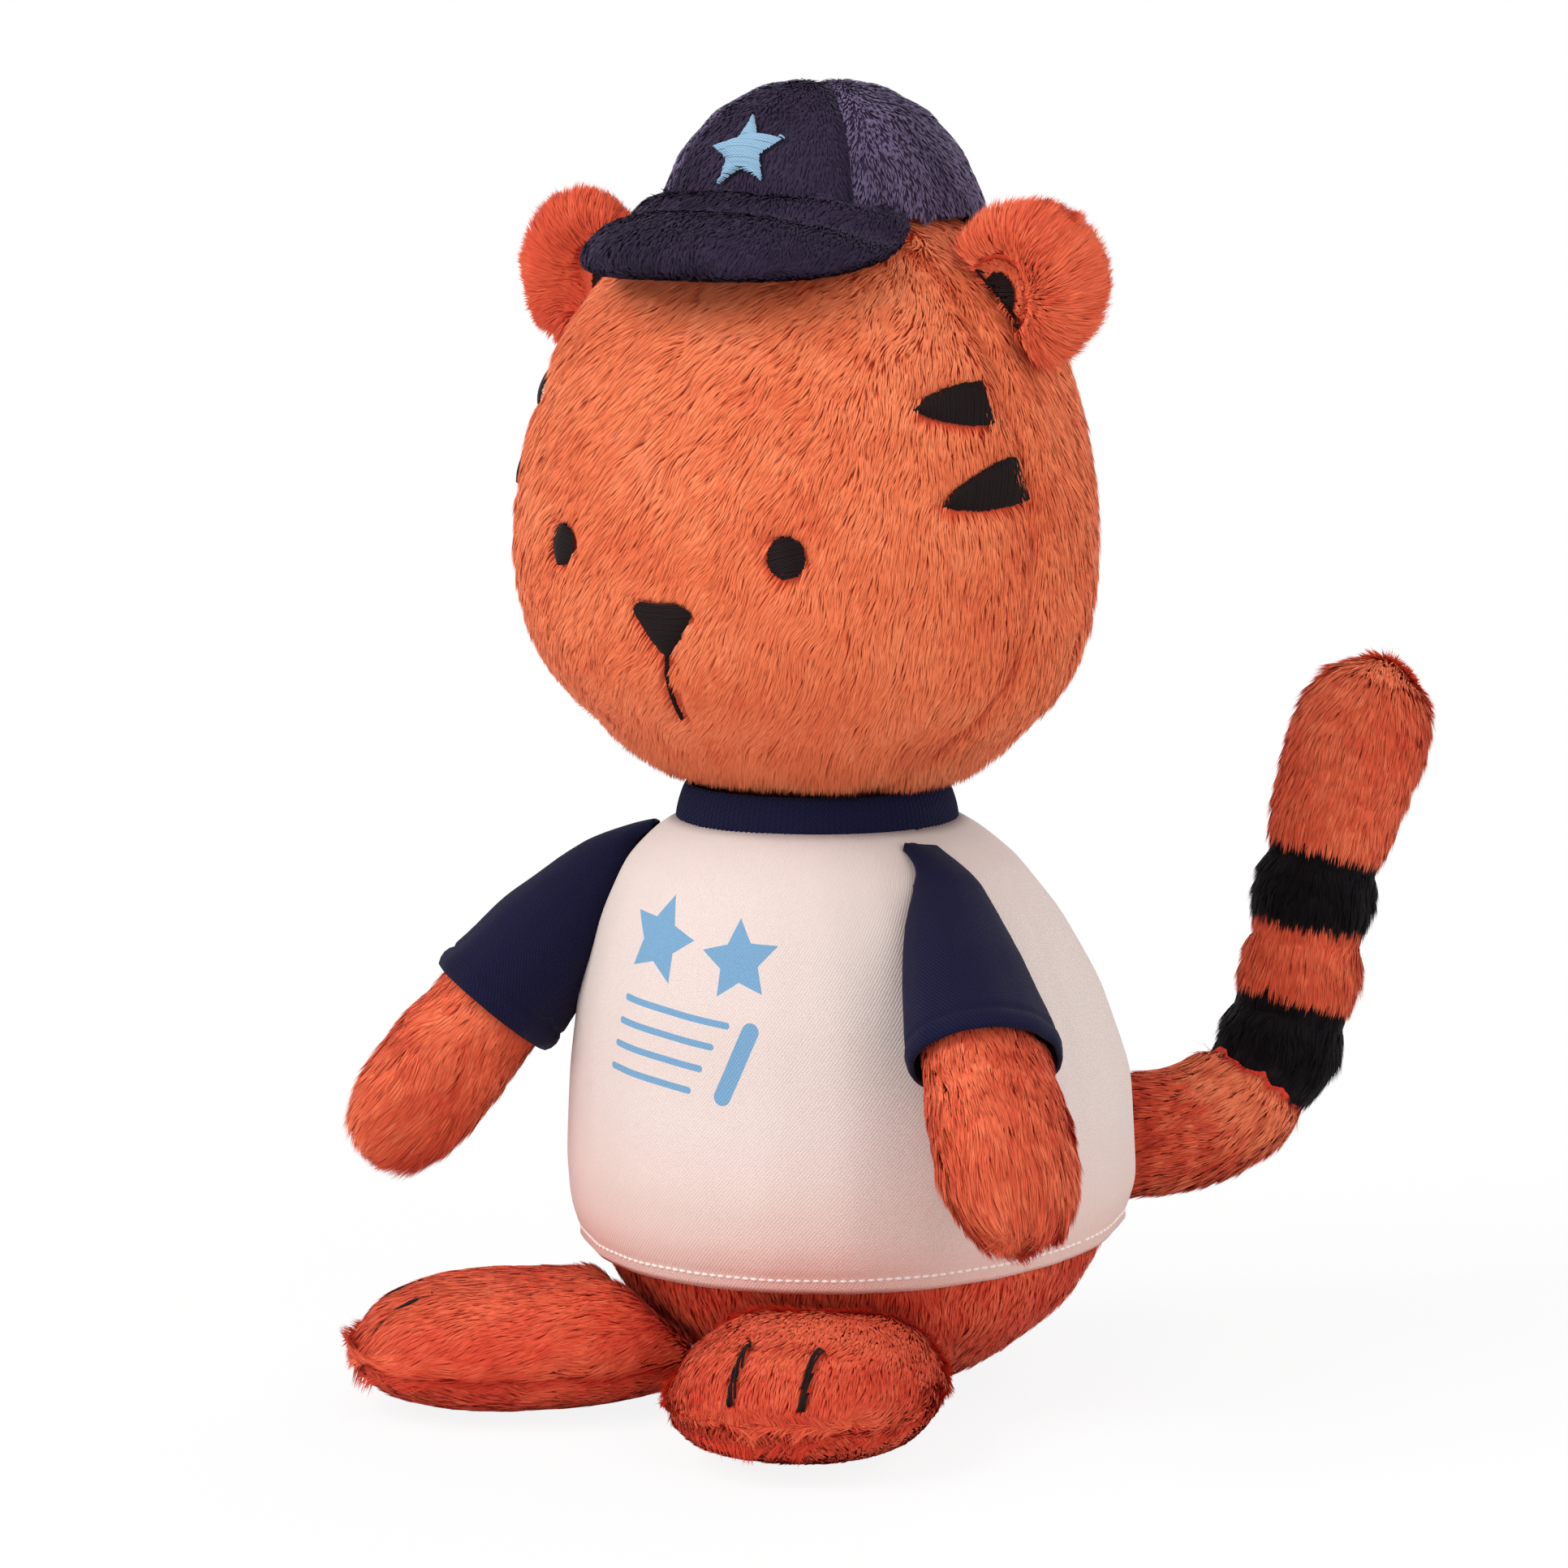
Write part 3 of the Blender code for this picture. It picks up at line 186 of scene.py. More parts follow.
pick_up()
bpy.ops.mesh.primitive_plane_add(size=FLOOR_SIZE, location=(0.0, 0.0, -FLOOR_DROP))
floor = bpy.context.active_object
floor.name = "studio_floor"
floor_paint, floor_tree, floor_shader = finish_of("studio_floor", FLOOR_GREY, 0.9, 0.1)
floor_spot = new_node(floor_tree, "TexCoord").outputs["Object"]
floor_reach = new_node(floor_tree, "VectorMath", {0: floor_spot}, operation="LENGTH")
floor_fade = new_node(floor_tree, "MapRange", {
    "Value": floor_reach.outputs["Value"], "From Min": FLOOR_FADE[0], "From Max": FLOOR_FADE[1],
    "To Min": FLOOR_WHITE[0], "To Max": FLOOR_WHITE[1],
})
floor_white = new_node(floor_tree, "Emission")
white_seen(floor_tree, floor_shader, floor_white, floor_fade.outputs[0], "Material Output")
floor.data.materials.append(floor_paint)

# The torso: a bag of orange plush filled with fibre over a bean bag. It is cut from the CAD
# solids as one form, swollen by a short cloth simulation, and its pile is grown on it.
PLUSH_INSET = 0.0021
SWELL_FRAMES, SWELL_PRESSURE = 20, 4.0
PLAIN_SWELL, BIG_SWELL, SMALL_SWELL = 0.0012, 0.0015, 0.0010
DEPTH_SAMPLE = 7
WEAVE_SCALE, WEAVE_RELIEF = 900.0, 0.0004


def places_of(mesh, word="co"):
    """The places of a mesh's points."""
    flat = np.empty(3 * len(mesh.vertices))
    mesh.vertices.foreach_get(word, flat)
    return flat.reshape(-1, 3)


def normals_of(mesh):
    """The normals of a mesh's points."""
    return places_of(mesh, "normal")


def put_places(mesh, places):
    """Moves a mesh's points."""
    mesh.vertices.foreach_set("co", np.ascontiguousarray(places).ravel())
    mesh.update()


def press_in(mesh, depths):
    """Moves each point of a mesh in along its normal by its depth."""
    put_places(mesh, places_of(mesh) - normals_of(mesh) * depths[:, None])


def rising(values, start, length):
    """0 up to the start, then a straight rise to 1 over this length."""
    return np.clip((values - start) / length, 0.0, 1.0)


def bell(values, width):
    """1 at zero, dying away on both sides over about this width."""
    return np.exp(-(values / width) ** 2)


def eased(shares):
    """A straight rise from 0 to 1 made gentle at both ends."""
    return shares * shares * (3.0 - 2.0 * shares)


def tree_of(piece):
    """A search tree over a piece's faces."""
    piece.data.calc_loop_triangles()
    corners = [tuple(tri.vertices) for tri in piece.data.loop_triangles]
    return BVHTree.FromPolygons([v.co for v in piece.data.vertices], corners)


def apply_all(piece):
    """Applies a piece's modifiers in order."""
    pick_up(piece)
    for modifier in list(piece.modifiers):
        bpy.ops.object.modifier_apply(modifier=modifier.name)


def gathered(name, node_names, voxel):
    """A copy of some CAD solids as one mesh of even faces."""
    shape = bmesh.new()
    for node_name in node_names:
        shape.from_mesh(nodes[node_name].data)
    bmesh.ops.remove_doubles(shape, verts=shape.verts, dist=1e-6)
    mesh = bpy.data.meshes.new(name)
    shape.to_mesh(mesh)
    shape.free()
    piece = linked(name, mesh)
    pick_up(piece)
    mesh.remesh_voxel_size = voxel
    bpy.ops.object.voxel_remesh()
    return piece


def soften(piece, rounds):
    """Rounds off a piece's edges."""
    smooth = piece.modifiers.new("soften", "SMOOTH")
    smooth.factor = 0.5
    smooth.iterations = rounds
    apply_all(piece)


def stuffed(
    name, node_names, voxel, rounds, finish,
    inset=PLUSH_INSET, swell=PLAIN_SWELL, thin=None,
):
    """A stuffed skin in place of some CAD solids: one smooth form, set inside their surface and
    swollen. It is thinned by a rule where the plush is drawn in."""
    piece = gathered(name, node_names, voxel)
    shell = tree_of(piece)
    soften(piece, rounds)
    places, normals = places_of(piece.data), normals_of(piece.data)
    depths = []
    for place, normal in zip(places[::DEPTH_SAMPLE], normals[::DEPTH_SAMPLE]):
        near = shell.find_nearest(Vector(place))[0]
        depths.append(float((near - Vector(place)).dot(Vector(normal))))
    drop = inset - float(np.median(depths))
    press_in(piece.data, drop * (np.ones(len(places)) if thin is None else thin(places)))
    if swell:
        start = places_of(piece.data)
        cloth = piece.modifiers.new("swell", "CLOTH")
        cloth.settings.use_pressure = True
        cloth.settings.uniform_pressure_force = SWELL_PRESSURE
        cloth.settings.effector_weights.gravity = 0.0
        cloth.collision_settings.use_collision = False
        for moment in range(1, SWELL_FRAMES + 1):
            scene.frame_set(moment)
        apply_all(piece)
        scene.frame_set(1)
        moves = places_of(piece.data) - start
        reach = np.linalg.norm(moves, axis=1)[:, None]
        moves *= np.minimum(1.0, swell / np.maximum(reach, 1e-9))
        put_places(piece.data, start + moves - normals_of(piece.data) * (swell / 2))
    finer = piece.modifiers.new("finer", "SUBSURF")
    finer.levels = finer.render_levels = 1
    apply_all(piece)
    piece.data.shade_smooth()
    piece.data.materials.append(finish)
    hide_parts(*node_names)
    return piece


def ramp(tree, source, stops):
    """A colour ramp on a value."""
    made = new_node(tree, "ValToRGB", {0: source})
    band = made.color_ramp
    while len(band.elements) < len(stops):
        band.elements.new(0.5)
    for element, (at, colour) in zip(band.elements, stops):
        element.position = at
        element.color = (*colour, 1.0)
    return made.outputs[0]


def mixed(tree, share, first, second, blend="MIX"):
    """One colour over another by a share."""
    feeds = {0: share, 6: first, 7: second}
    return new_node(tree, "Mix", feeds, data_type="RGBA", blend_type=blend).outputs[2]


def relief(tree, shader, height, strength, distance):
    """Bumps on a finish, from a height that varies over it."""
    bump = new_node(
        tree, "Bump", {"Height": height, "Strength": strength, "Distance": distance}
    )
    feed(tree, shader, {"Normal": bump.outputs[0]})


def backing_finish(name, colour):
    """The woven ground of the plush, mottled, seen only between the fibres."""
    made, tree, shader = finish_of(name, colour, 0.95, 0.1)
    place = new_node(tree, "TexCoord").outputs["Object"]
    cloud = new_node(tree, "TexNoise", {"Scale": WEAVE_SCALE, "Vector": place}).outputs["Fac"]
    dark = tuple(0.8 * c for c in colour)
    feed(tree, shader, {"Base Color": ramp(tree, cloud, ((0.35, dark), (0.65, colour)))})
    relief(tree, shader, cloud, 0.5, WEAVE_RELIEF)
    return made


def pile_finish(name, root, dark, middle, light, sheen, sheen_tint):
    """Fibres: deep at the root and paler at the tip, each shaded by its own place on the map."""
    made, tree, shader = finish_of(name, middle, 0.75, 0.12, sheen, sheen_tint)
    chart = new_node(tree, "UVMap", uv_map="OFBake").outputs[0]
    shade, height, _ = new_node(tree, "SeparateXYZ", {0: chart}).outputs
    tips = ramp(tree, shade, ((0.0, dark), (0.5, middle), (1.0, light)))
    deep = tuple((a + b) / 2 for a, b in zip(root, dark))
    roots = ramp(tree, shade, ((0.0, root), (1.0, deep)))
    rise = ramp(tree, height, ((0.05, (0.0, 0.0, 0.0)), (0.60, WHITE)))
    feed(tree, shader, {"Base Color": mixed(tree, rise, roots, tips)})
    return made


orange_backing = backing_finish("orange_backing", (0.80, 0.060, 0.030))
# The deepest copy of the orange pile, for the torso and feet: partly the pile's own deeper red,
# partly painted shade.
deep_pile_painted_shade = pile_finish(
    "deep_pile_painted_shade", (0.68, 0.038, 0.020), (0.58, 0.037, 0.020), (0.69, 0.072, 0.035),
    (0.83, 0.150, 0.070), 0.05, (1.0, 0.55, 0.40),
)


def waves(places, length, seed, count=14):
    """Smooth random hills of about this length, mostly between -1 and 1."""
    rng = np.random.default_rng(seed)
    ways = rng.normal(size=(count, 3))
    ways /= np.linalg.norm(ways, axis=1)[:, None]
    steps = 2 * math.pi / length * rng.uniform(0.6, 1.5, count)
    phases = rng.uniform(0.0, 2 * math.pi, count)
    return np.sin(places @ (ways * steps[:, None]).T + phases).sum(axis=1) / math.sqrt(count)


def unit(ways):
    """Directions of length one."""
    return ways / np.maximum(np.linalg.norm(ways, axis=1)[:, None], 1e-9)


PILE_FLOOR = 0.0004
SHADE_REACH = 0.00025
LENGTH_SPREAD, WIDTH_SPREAD, LOCK_PULL = (0.75, 1.15), (0.7, 1.3), (0.15, 0.55)
LOWER_SHARE, UPPER_SHARE = 0.45, 0.60
SWIRL, SWIRL_LENGTH, STRAY = 0.18, 0.014, 0.06
PARTING_LENGTH, PARTING_WIDTH, PARTING_PATCH = 0.016, 0.13, 0.020
PARTING_CUT, PARTING_LEAN, PARTING_PAINTED_SHADE = 0.38, 0.30, 0.28


def pile(
    name, skin, strands, length, width, flow, finish, seed,
    keep=None, trim=None, patches=(), lean=0.34, lock=0.0015, tone=0.0, mottle=1.0,
    parted=0.6, grain=1.0, hang=None, body=None,
):
    """A coat of fibres on a skin. Each is a four-sided face under a pointed one. It leans along
    the flow, is drawn towards the tip of its lock, and is cut short in partings and where it
    would lie on stitching."""
    rng = np.random.default_rng(seed)
    mesh = skin.data
    mesh.calc_loop_triangles()
    corners = np.empty(3 * len(mesh.loop_triangles), dtype=np.int32)
    mesh.loop_triangles.foreach_get("vertices", corners)
    corners = corners.reshape(-1, 3)
    places, normals = places_of(mesh), normals_of(mesh)
    sides = places[corners]
    areas = np.cross(sides[:, 1] - sides[:, 0], sides[:, 2] - sides[:, 0])
    areas = np.linalg.norm(areas, axis=1) / 2
    if keep is not None:
        areas = areas * keep(sides.mean(axis=1))
    chosen = rng.choice(len(corners), strands, p=areas / areas.sum())
    a, b = rng.random(strands), rng.random(strands)
    over = a + b > 1.0
    a[over], b[over] = 1.0 - a[over], 1.0 - b[over]
    weights = np.stack([1.0 - a - b, a, b], axis=1)[:, :, None]
    roots = (places[corners[chosen]] * weights).sum(axis=1)
    outs = unit((normals[corners[chosen]] * weights).sum(axis=1))
    lengths = length * rng.uniform(*LENGTH_SPREAD, strands)
    alive = np.ones(strands, dtype=bool) if keep is None else keep(roots)
    if trim is not None:
        lengths *= trim(roots)
    ways = flow(roots, outs)
    swirls = [waves(roots, SWIRL_LENGTH, seed + k) for k in (1, 2, 3)]
    ways = ways + SWIRL * np.stack(swirls, axis=1)
    ways = ways + rng.normal(scale=STRAY, size=ways.shape)
    ways = unit(ways - outs * (ways * outs).sum(axis=1)[:, None])
    far = 1.2 * length
    for patch, gap in patches:
        spots = places_of(patch.data)
        low, high = spots.min(axis=0) - far, spots.max(axis=0) + far
        close = np.nonzero(((roots > low) & (roots < high)).all(axis=1))[0]
        search = tree_of(patch)
        for number in close:
            root, out = Vector(roots[number]), Vector(outs[number])
            if search.ray_cast(root - out * 0.002, out, 0.008)[0] is not None:
                alive[number] = False
                continue
            found = search.find_nearest(root, far)[0]
            if found is None:
                continue
            shift = found - root
            shift -= out * shift.dot(out)
            if shift.length < gap:
                alive[number] = False
            elif shift.dot(Vector(ways[number])) > 0.3 * shift.length:
                lengths[number] = min(lengths[number], shift.length + 0.0002)
    parting = np.abs(waves(roots, PARTING_LENGTH, seed + 4)) / PARTING_WIDTH
    parting = np.clip(1.0 - parting, 0.0, 1.0)
    parting *= parted * np.clip(waves(roots, PARTING_PATCH, seed + 5) * 1.5, 0.0, 1.0)
    lengths *= 1.0 - PARTING_CUT * parting
    leans = lean(roots) if callable(lean) else lean
    leans = leans * (1.0 + 0.22 * waves(roots, 0.006, seed + 6)) + PARTING_LEAN * parting
    leans = leans[:, None]
    first = unit(ways * np.cos(leans + 0.22) + outs * np.sin(leans + 0.22))
    second = unit(ways * np.cos(leans * 0.35) + outs * np.sin(leans * 0.35))
    if hang is not None:
        falls = hang(roots)[:, None]
        drops = falls * [[0.0, 0.0, 1.0]]
        first = unit(first * (1.0 - 0.5 * falls) + outs * 0.3 * falls - drops)
        second = unit(second * (1.0 - falls) - drops)
    middles = roots + first * (lengths * LOWER_SHARE)[:, None]
    tips = middles + second * (lengths * UPPER_SHARE)[:, None]
    heads = max(8, int(strands * (0.9 * 4.0e-7) / lock ** 2))
    leads = rng.choice(strands, min(heads, strands), replace=False)
    search = KDTree(len(leads))
    for number, lead in enumerate(leads):
        search.insert(roots[lead], number)
    search.balance()
    owners = np.array([leads[search.find(root)[1]] for root in roots])
    pull = rng.uniform(*LOCK_PULL, strands)[:, None]
    tips += (tips[owners] - tips) * pull * (lengths[:, None] > 0.4 * length)
    middles += (middles[owners] - middles) * pull * 0.35
    across = unit(np.cross(ways, outs))
    roll = rng.normal(scale=0.25, size=strands)[:, None]
    across = unit(across * np.cos(roll) + outs * np.sin(roll))
    half = across * (width / 2 * rng.uniform(*WIDTH_SPREAD, strands))[:, None]
    points = np.stack(
        [roots - half, roots + half, middles - half * 0.85, middles + half * 0.85, tips], axis=1
    )
    points[:, :, 2] = np.maximum(points[:, :, 2], PILE_FLOOR)
    shade = rng.normal(scale=0.10, size=strands)[owners] + rng.normal(scale=0.07, size=strands)
    shade = grain * shade + 0.12 * waves(roots, 0.030, seed + 7)
    shade += 0.07 * waves(roots, 0.009, seed + 8)
    # Each strand's colour is moved by its tone, with which several coats paint light and shade.
    shade = 0.5 + mottle * shade + (tone(roots) if callable(tone) else tone)
    # Strands in partings are darkened: painted shade of the gaps between locks.
    shade = np.clip(shade - PARTING_PAINTED_SHADE * parting, 0.01, 0.99)
    turned = grain * rng.normal(scale=0.20, size=strands)[:, None]
    facing = unit(outs + across * turned + ways * 0.10)
    points, shade, facing = points[alive], shade[alive], facing[alive]
    count = len(points)
    coat = bpy.data.meshes.new(name)
    coat.vertices.add(5 * count)
    coat.vertices.foreach_set("co", points.ravel())
    rims = 5 * np.arange(count)[:, None] + [[0, 1, 3, 2, 2, 3, 4]]
    coat.loops.add(7 * count)
    coat.loops.foreach_set("vertex_index", rims.ravel().astype(np.int32))
    starts = 7 * np.arange(count)[:, None] + [[0, 4]]
    coat.polygons.add(2 * count)
    coat.polygons.foreach_set("loop_start", starts.ravel().astype(np.int32))
    coat.update(calc_edges=True)
    spots = np.empty((count, 7, 2))
    spots[:, :, 0] = shade[:, None] + SHADE_REACH * np.array([[-1, 1, 1, -1, -1, 1, 0]])
    spots[:, :, 1] = [[0.0, 0.0, 0.5, 0.5, 0.5, 0.5, 1.0]]
    coat.uv_layers.new(name="OFBake").data.foreach_set("uv", spots.ravel())
    coat.shade_smooth()
    coat.normals_split_custom_set_from_vertices(np.repeat(facing, 5, axis=0))
    coat.materials.append(finish)
    fur = linked(name, coat)
    if body:
        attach(fur, body)
    return fur


def downward(places, outs):
    """Fur that hangs down."""
    return [[0.0, 0.0, -1.0]] + outs * [[0.3, 0.3, 0.0]]


HEM_FRONT_HEIGHT, HEM_BACK_HEIGHT = 0.0330, 0.0415
TORSO_RADIUS = 0.0663
NOTCH_HALF_WIDTH, NOTCH_HEIGHT = 0.0210, 0.0610


def hem_heights(xs, ys):
    """How high the shirt's hem is, with the arch over the tail at the back."""
    back_shares = (ys / TORSO_RADIUS + 1) / 2
    hems = HEM_FRONT_HEIGHT + (HEM_BACK_HEIGHT - HEM_FRONT_HEIGHT) * back_shares
    inside = np.clip(1.0 - (xs / NOTCH_HALF_WIDTH) ** 2, 0.0, 1.0) ** 0.5
    arch = hems + (NOTCH_HEIGHT - hems) * inside
    return np.where(ys > 0.0, np.maximum(hems, arch), hems)


torso = stuffed(
    "torso_plush", ("torso_skin", "torso_stuffing", "bean_bag"), 0.0040, 12, orange_backing,
    swell=BIG_SWELL,
)
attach(torso, "torso")
pile(
    "torso_pile", torso, 29000, 0.0044, 0.00047, downward, deep_pile_painted_shade, 11, body="torso",
    keep=lambda p: p[:, 2] < hem_heights(p[:, 0], p[:, 1]) + 0.003, tone=0.15, lean=0.26,
)

# The shirt: a tube of off-white jersey drawn tight over the torso, sewn at both sides, arched over
# the tail, with a turned-up hem under a white topstitch. A plain pale blue print is on the chest.
SHIRT_TOP, SHOULDER_TOP = 0.1372, 0.1250
SHIRT_COLUMNS, SHIRT_ROWS = 168, 64
SHIRT_SIZE, SHIRT_AREA = (0.400, 0.105), 0.0403
SHIRT_EASE, SHIRT_WALL = 0.0003, 0.0010
SHIRT_SEAM_FORWARD, SHIRT_SEAM_WIDTH = 0.0060, 0.0010
HEM_FOLD, HEM_STITCH_WIDTH = 0.0034, 0.0007
HEM_LOOK_HEIGHT = 0.05
RAGLAN_ANGLE, RAGLAN_REACH_ACROSS = math.radians(12.0), 0.035
LEAN_START, LEAN_FULL, NECK_FORWARD = 0.0761, 0.1334, 0.0147
PRINT_BLUE = (0.150, 0.345, 0.550)
STAR_SLANT = 2.0
STARS = ((-0.0125, 0.1128, 0.0105, 14.0), (0.0100, 0.1098, 0.0096, -6.0))
STROKES = (
    (-0.0215, 0.0985, 0.0080, 0.0950, 0.0008), (-0.0230, 0.0930, 0.0040, 0.0898, 0.0008),
    (-0.0245, 0.0875, 0.0010, 0.0845, 0.0008), (-0.0260, 0.0820, -0.0020, 0.0792, 0.0008),
    (0.0140, 0.0940, 0.0070, 0.0785, 0.0021),
)
THREAD_PITCH, THREAD_LENGTH, HEM_THREAD = 0.0021, 0.0020, 0.00085


def cloth_tube(
    name, rows, columns, spot_at, wall, map_size, finish, node_names
):
    """A tube of cloth in place of some CAD solids, drawn tight over what is under it. It is made
    from a grid of spots, with a wall inside it and a map in real lengths."""
    spots = [
        spot_at(row / rows, column / columns)
        for row in range(rows + 1) for column in range(columns)
    ]
    faces, chart_spots = [], []
    for row in range(rows):
        for column in range(columns):
            rim = ((column, row), (column + 1, row), (column + 1, row + 1), (column, row + 1))
            faces.append([high * columns + far % columns for far, high in rim])
            chart_spots += rim
    mesh = bpy.data.meshes.new(name)
    mesh.from_pydata(spots, [], faces)
    chart = mesh.uv_layers.new(name="cloth").data
    chart.foreach_set("uv", (np.array(chart_spots) / (columns, rows) * map_size).ravel())
    piece = linked(name, mesh)
    thick = piece.modifiers.new("wall", "SOLIDIFY")
    thick.thickness = wall
    thick.offset = -1.0
    apply_all(piece)
    piece.data.shade_smooth()
    piece.data.materials.append(finish)
    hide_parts(*node_names)
    return piece


def knit_finish(name, colour, shadow, wale, depth, bias):
    """Jersey: slanted stitches in columns and rows, in relief and slightly shaded."""
    made, tree, shader = finish_of(name, colour, 0.8, 0.10, 0.03)
    chart = new_node(tree, "UVMap", uv_map="cloth").outputs[0]
    turned = new_node(tree, "Mapping", {0: chart, "Rotation": (0.0, 0.0, bias)}).outputs[0]
    bands = [
        new_node(tree, "TexWave", {
            "Vector": turned, "Scale": share * 0.05 * 2 * math.pi / wale, "Distortion": 0.6,
            "Detail": 1.0, "Detail Scale": 2.0,
        }, bands_direction=direction).outputs["Fac"]
        for direction, share in (("X", 1.0), ("Y", 1.6))
    ]
    stitches = maths(tree, "MULTIPLY", *bands)
    relief(tree, shader, stitches, 0.6, depth)
    return made, tree, shader, ramp(tree, stitches, ((0.0, shadow), (0.7, colour)))


def axis_y(z):
    """How far forward the torso's middle is at a height."""
    return -NECK_FORWARD * float(rising(z, LEAN_START, LEAN_FULL - LEAN_START))


def form_tree(node_names, voxel, rounds):
    """A search tree over the softened form of some CAD solids."""
    form = gathered("form", node_names, voxel)
    soften(form, rounds)
    found = tree_of(form)
    bpy.data.objects.remove(form, do_unlink=True)
    return found


dressed_tree = form_tree(
    ("torso_skin", "torso_stuffing", "bean_bag", "shirt_front", "shirt_back"), 0.0030, 10
)


def torso_spot(z, angle):
    """A point of the dressed torso's outside, straight out from its middle at a height."""
    way = Vector((math.cos(angle), math.sin(angle), 0.0))
    middle = Vector((0.0, axis_y(z), z))
    return dressed_tree.ray_cast(middle + way * 0.15, -way)[0], way


def hem_at(angle):
    """How high the hem is on one side of the torso."""
    guess = torso_spot(HEM_LOOK_HEIGHT, angle)[0]
    return float(hem_heights(np.array([guess.x]), np.array([guess.y]))[0])


def shirt_spot(rise, around):
    """A point of the shirt: rise from its hem to its neck, around from its left side."""
    angle = 2 * math.pi * around
    hem = hem_at(angle)
    z = hem + (SHIRT_TOP - hem) * rise
    spot, way = torso_spot(z, angle)
    above = z - hem
    ease = SHIRT_EASE + 0.0007 * bell(above - HEM_FOLD * 0.45, HEM_FOLD * 0.45)
    ease -= 0.0007 * bell(above - HEM_FOLD, HEM_STITCH_WIDTH)
    ease += 0.0006 * bell(above - 0.010, 0.005)
    if z < SHOULDER_TOP:
        ease -= 0.0006 * bell(spot.y + SHIRT_SEAM_FORWARD, SHIRT_SEAM_WIDTH)
    else:
        aside = math.atan2(way.y, abs(way.x)) + RAGLAN_ANGLE
        ease -= 0.0008 * bell(aside * RAGLAN_REACH_ACROSS, SHIRT_SEAM_WIDTH)
    ease += 0.00045 * waves(np.array([spot]), 0.055, 301)[0]
    return spot + way * float(ease)


jersey, jersey_tree, jersey_shader, jersey_stitch = knit_finish(
    "shirt_jersey", (0.87, 0.745, 0.700), (0.70, 0.580, 0.540), 0.00066, 0.00025, 0.7
)
shirt = cloth_tube(
    "shirt_jersey", SHIRT_ROWS, SHIRT_COLUMNS, shirt_spot, SHIRT_WALL, SHIRT_SIZE, jersey,
    ("shirt_front", "shirt_back"),
)
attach(shirt, "torso")


def shirt_print(tree):
    """Where the ink is: two bold stars over short thin strokes and one bold slanted stroke."""
    add, less, times, under, most, least, root = (
        partial(maths, tree, word) for word in (
            "ADD", "SUBTRACT", "MULTIPLY", "LESS_THAN", "MAXIMUM", "MINIMUM", "SQRT"
        )
    )
    place = new_node(tree, "TexCoord").outputs["Object"]
    x, y, z = new_node(tree, "SeparateXYZ", {0: place}).outputs
    shapes = []
    for star_x, star_z, size, turn in STARS:
        dx, dz = less(x, star_x), less(z, star_z)
        reach = root(add(times(dx, dx), times(dz, dz)))
        angle = add(maths(tree, "ARCTAN2", dz, dx), math.radians(turn) - math.pi / 2)
        fold = maths(tree, "PINGPONG", add(angle, 2 * math.pi), math.pi / 5)
        tall = times(maths(tree, "SINE", fold), reach)
        wide = times(maths(tree, "COSINE", fold), reach)
        shapes.append(under(add(wide, times(tall, STAR_SLANT)), size))
    for start_x, start_z, end_x, end_z, half in STROKES:
        long = math.hypot(end_x - start_x, end_z - start_z)
        way_x, way_z = (end_x - start_x) / long, (end_z - start_z) / long
        dx, dz = less(x, start_x), less(z, start_z)
        kept = least(most(add(times(dx, way_x), times(dz, way_z)), 0.0), long)
        dx, dz = less(dx, times(kept, way_x)), less(dz, times(kept, way_z))
        shapes.append(under(root(add(times(dx, dx), times(dz, dz))), half))
    return times(reduce(most, shapes), under(y, -0.02)), z


ink, shirt_height = shirt_print(jersey_tree)
# Painted reflected light and shade: the jersey is tinted pinker and darker towards its hem, for the
# light bounced up from the orange fur below it.
painted_bounce_shade = ramp(
    jersey_tree, maths(jersey_tree, "MULTIPLY", shirt_height, 10.0),
    ((0.36, (1.0, 0.78, 0.74)), (0.50, (1.0, 0.92, 0.90)), (0.72, WHITE)),
)
jersey_painted_bounce = mixed(jersey_tree, 1.0, jersey_stitch, painted_bounce_shade, "MULTIPLY")
inked = mixed(jersey_tree, 0.06, PRINT_BLUE, jersey_stitch)
feed(jersey_tree, jersey_shader, {"Base Color": mixed(jersey_tree, ink, jersey_painted_bounce, inked)})


def steps_along(line):
    """How far along a line each of its points is."""
    return np.concatenate([[0.0], np.cumsum(np.linalg.norm(np.diff(line, axis=0), axis=1))])


def along_line(at, steps, line):
    """What a line holds at these steps."""
    return np.stack([np.interp(at, steps, line[:, k]) for k in range(3)], axis=-1)


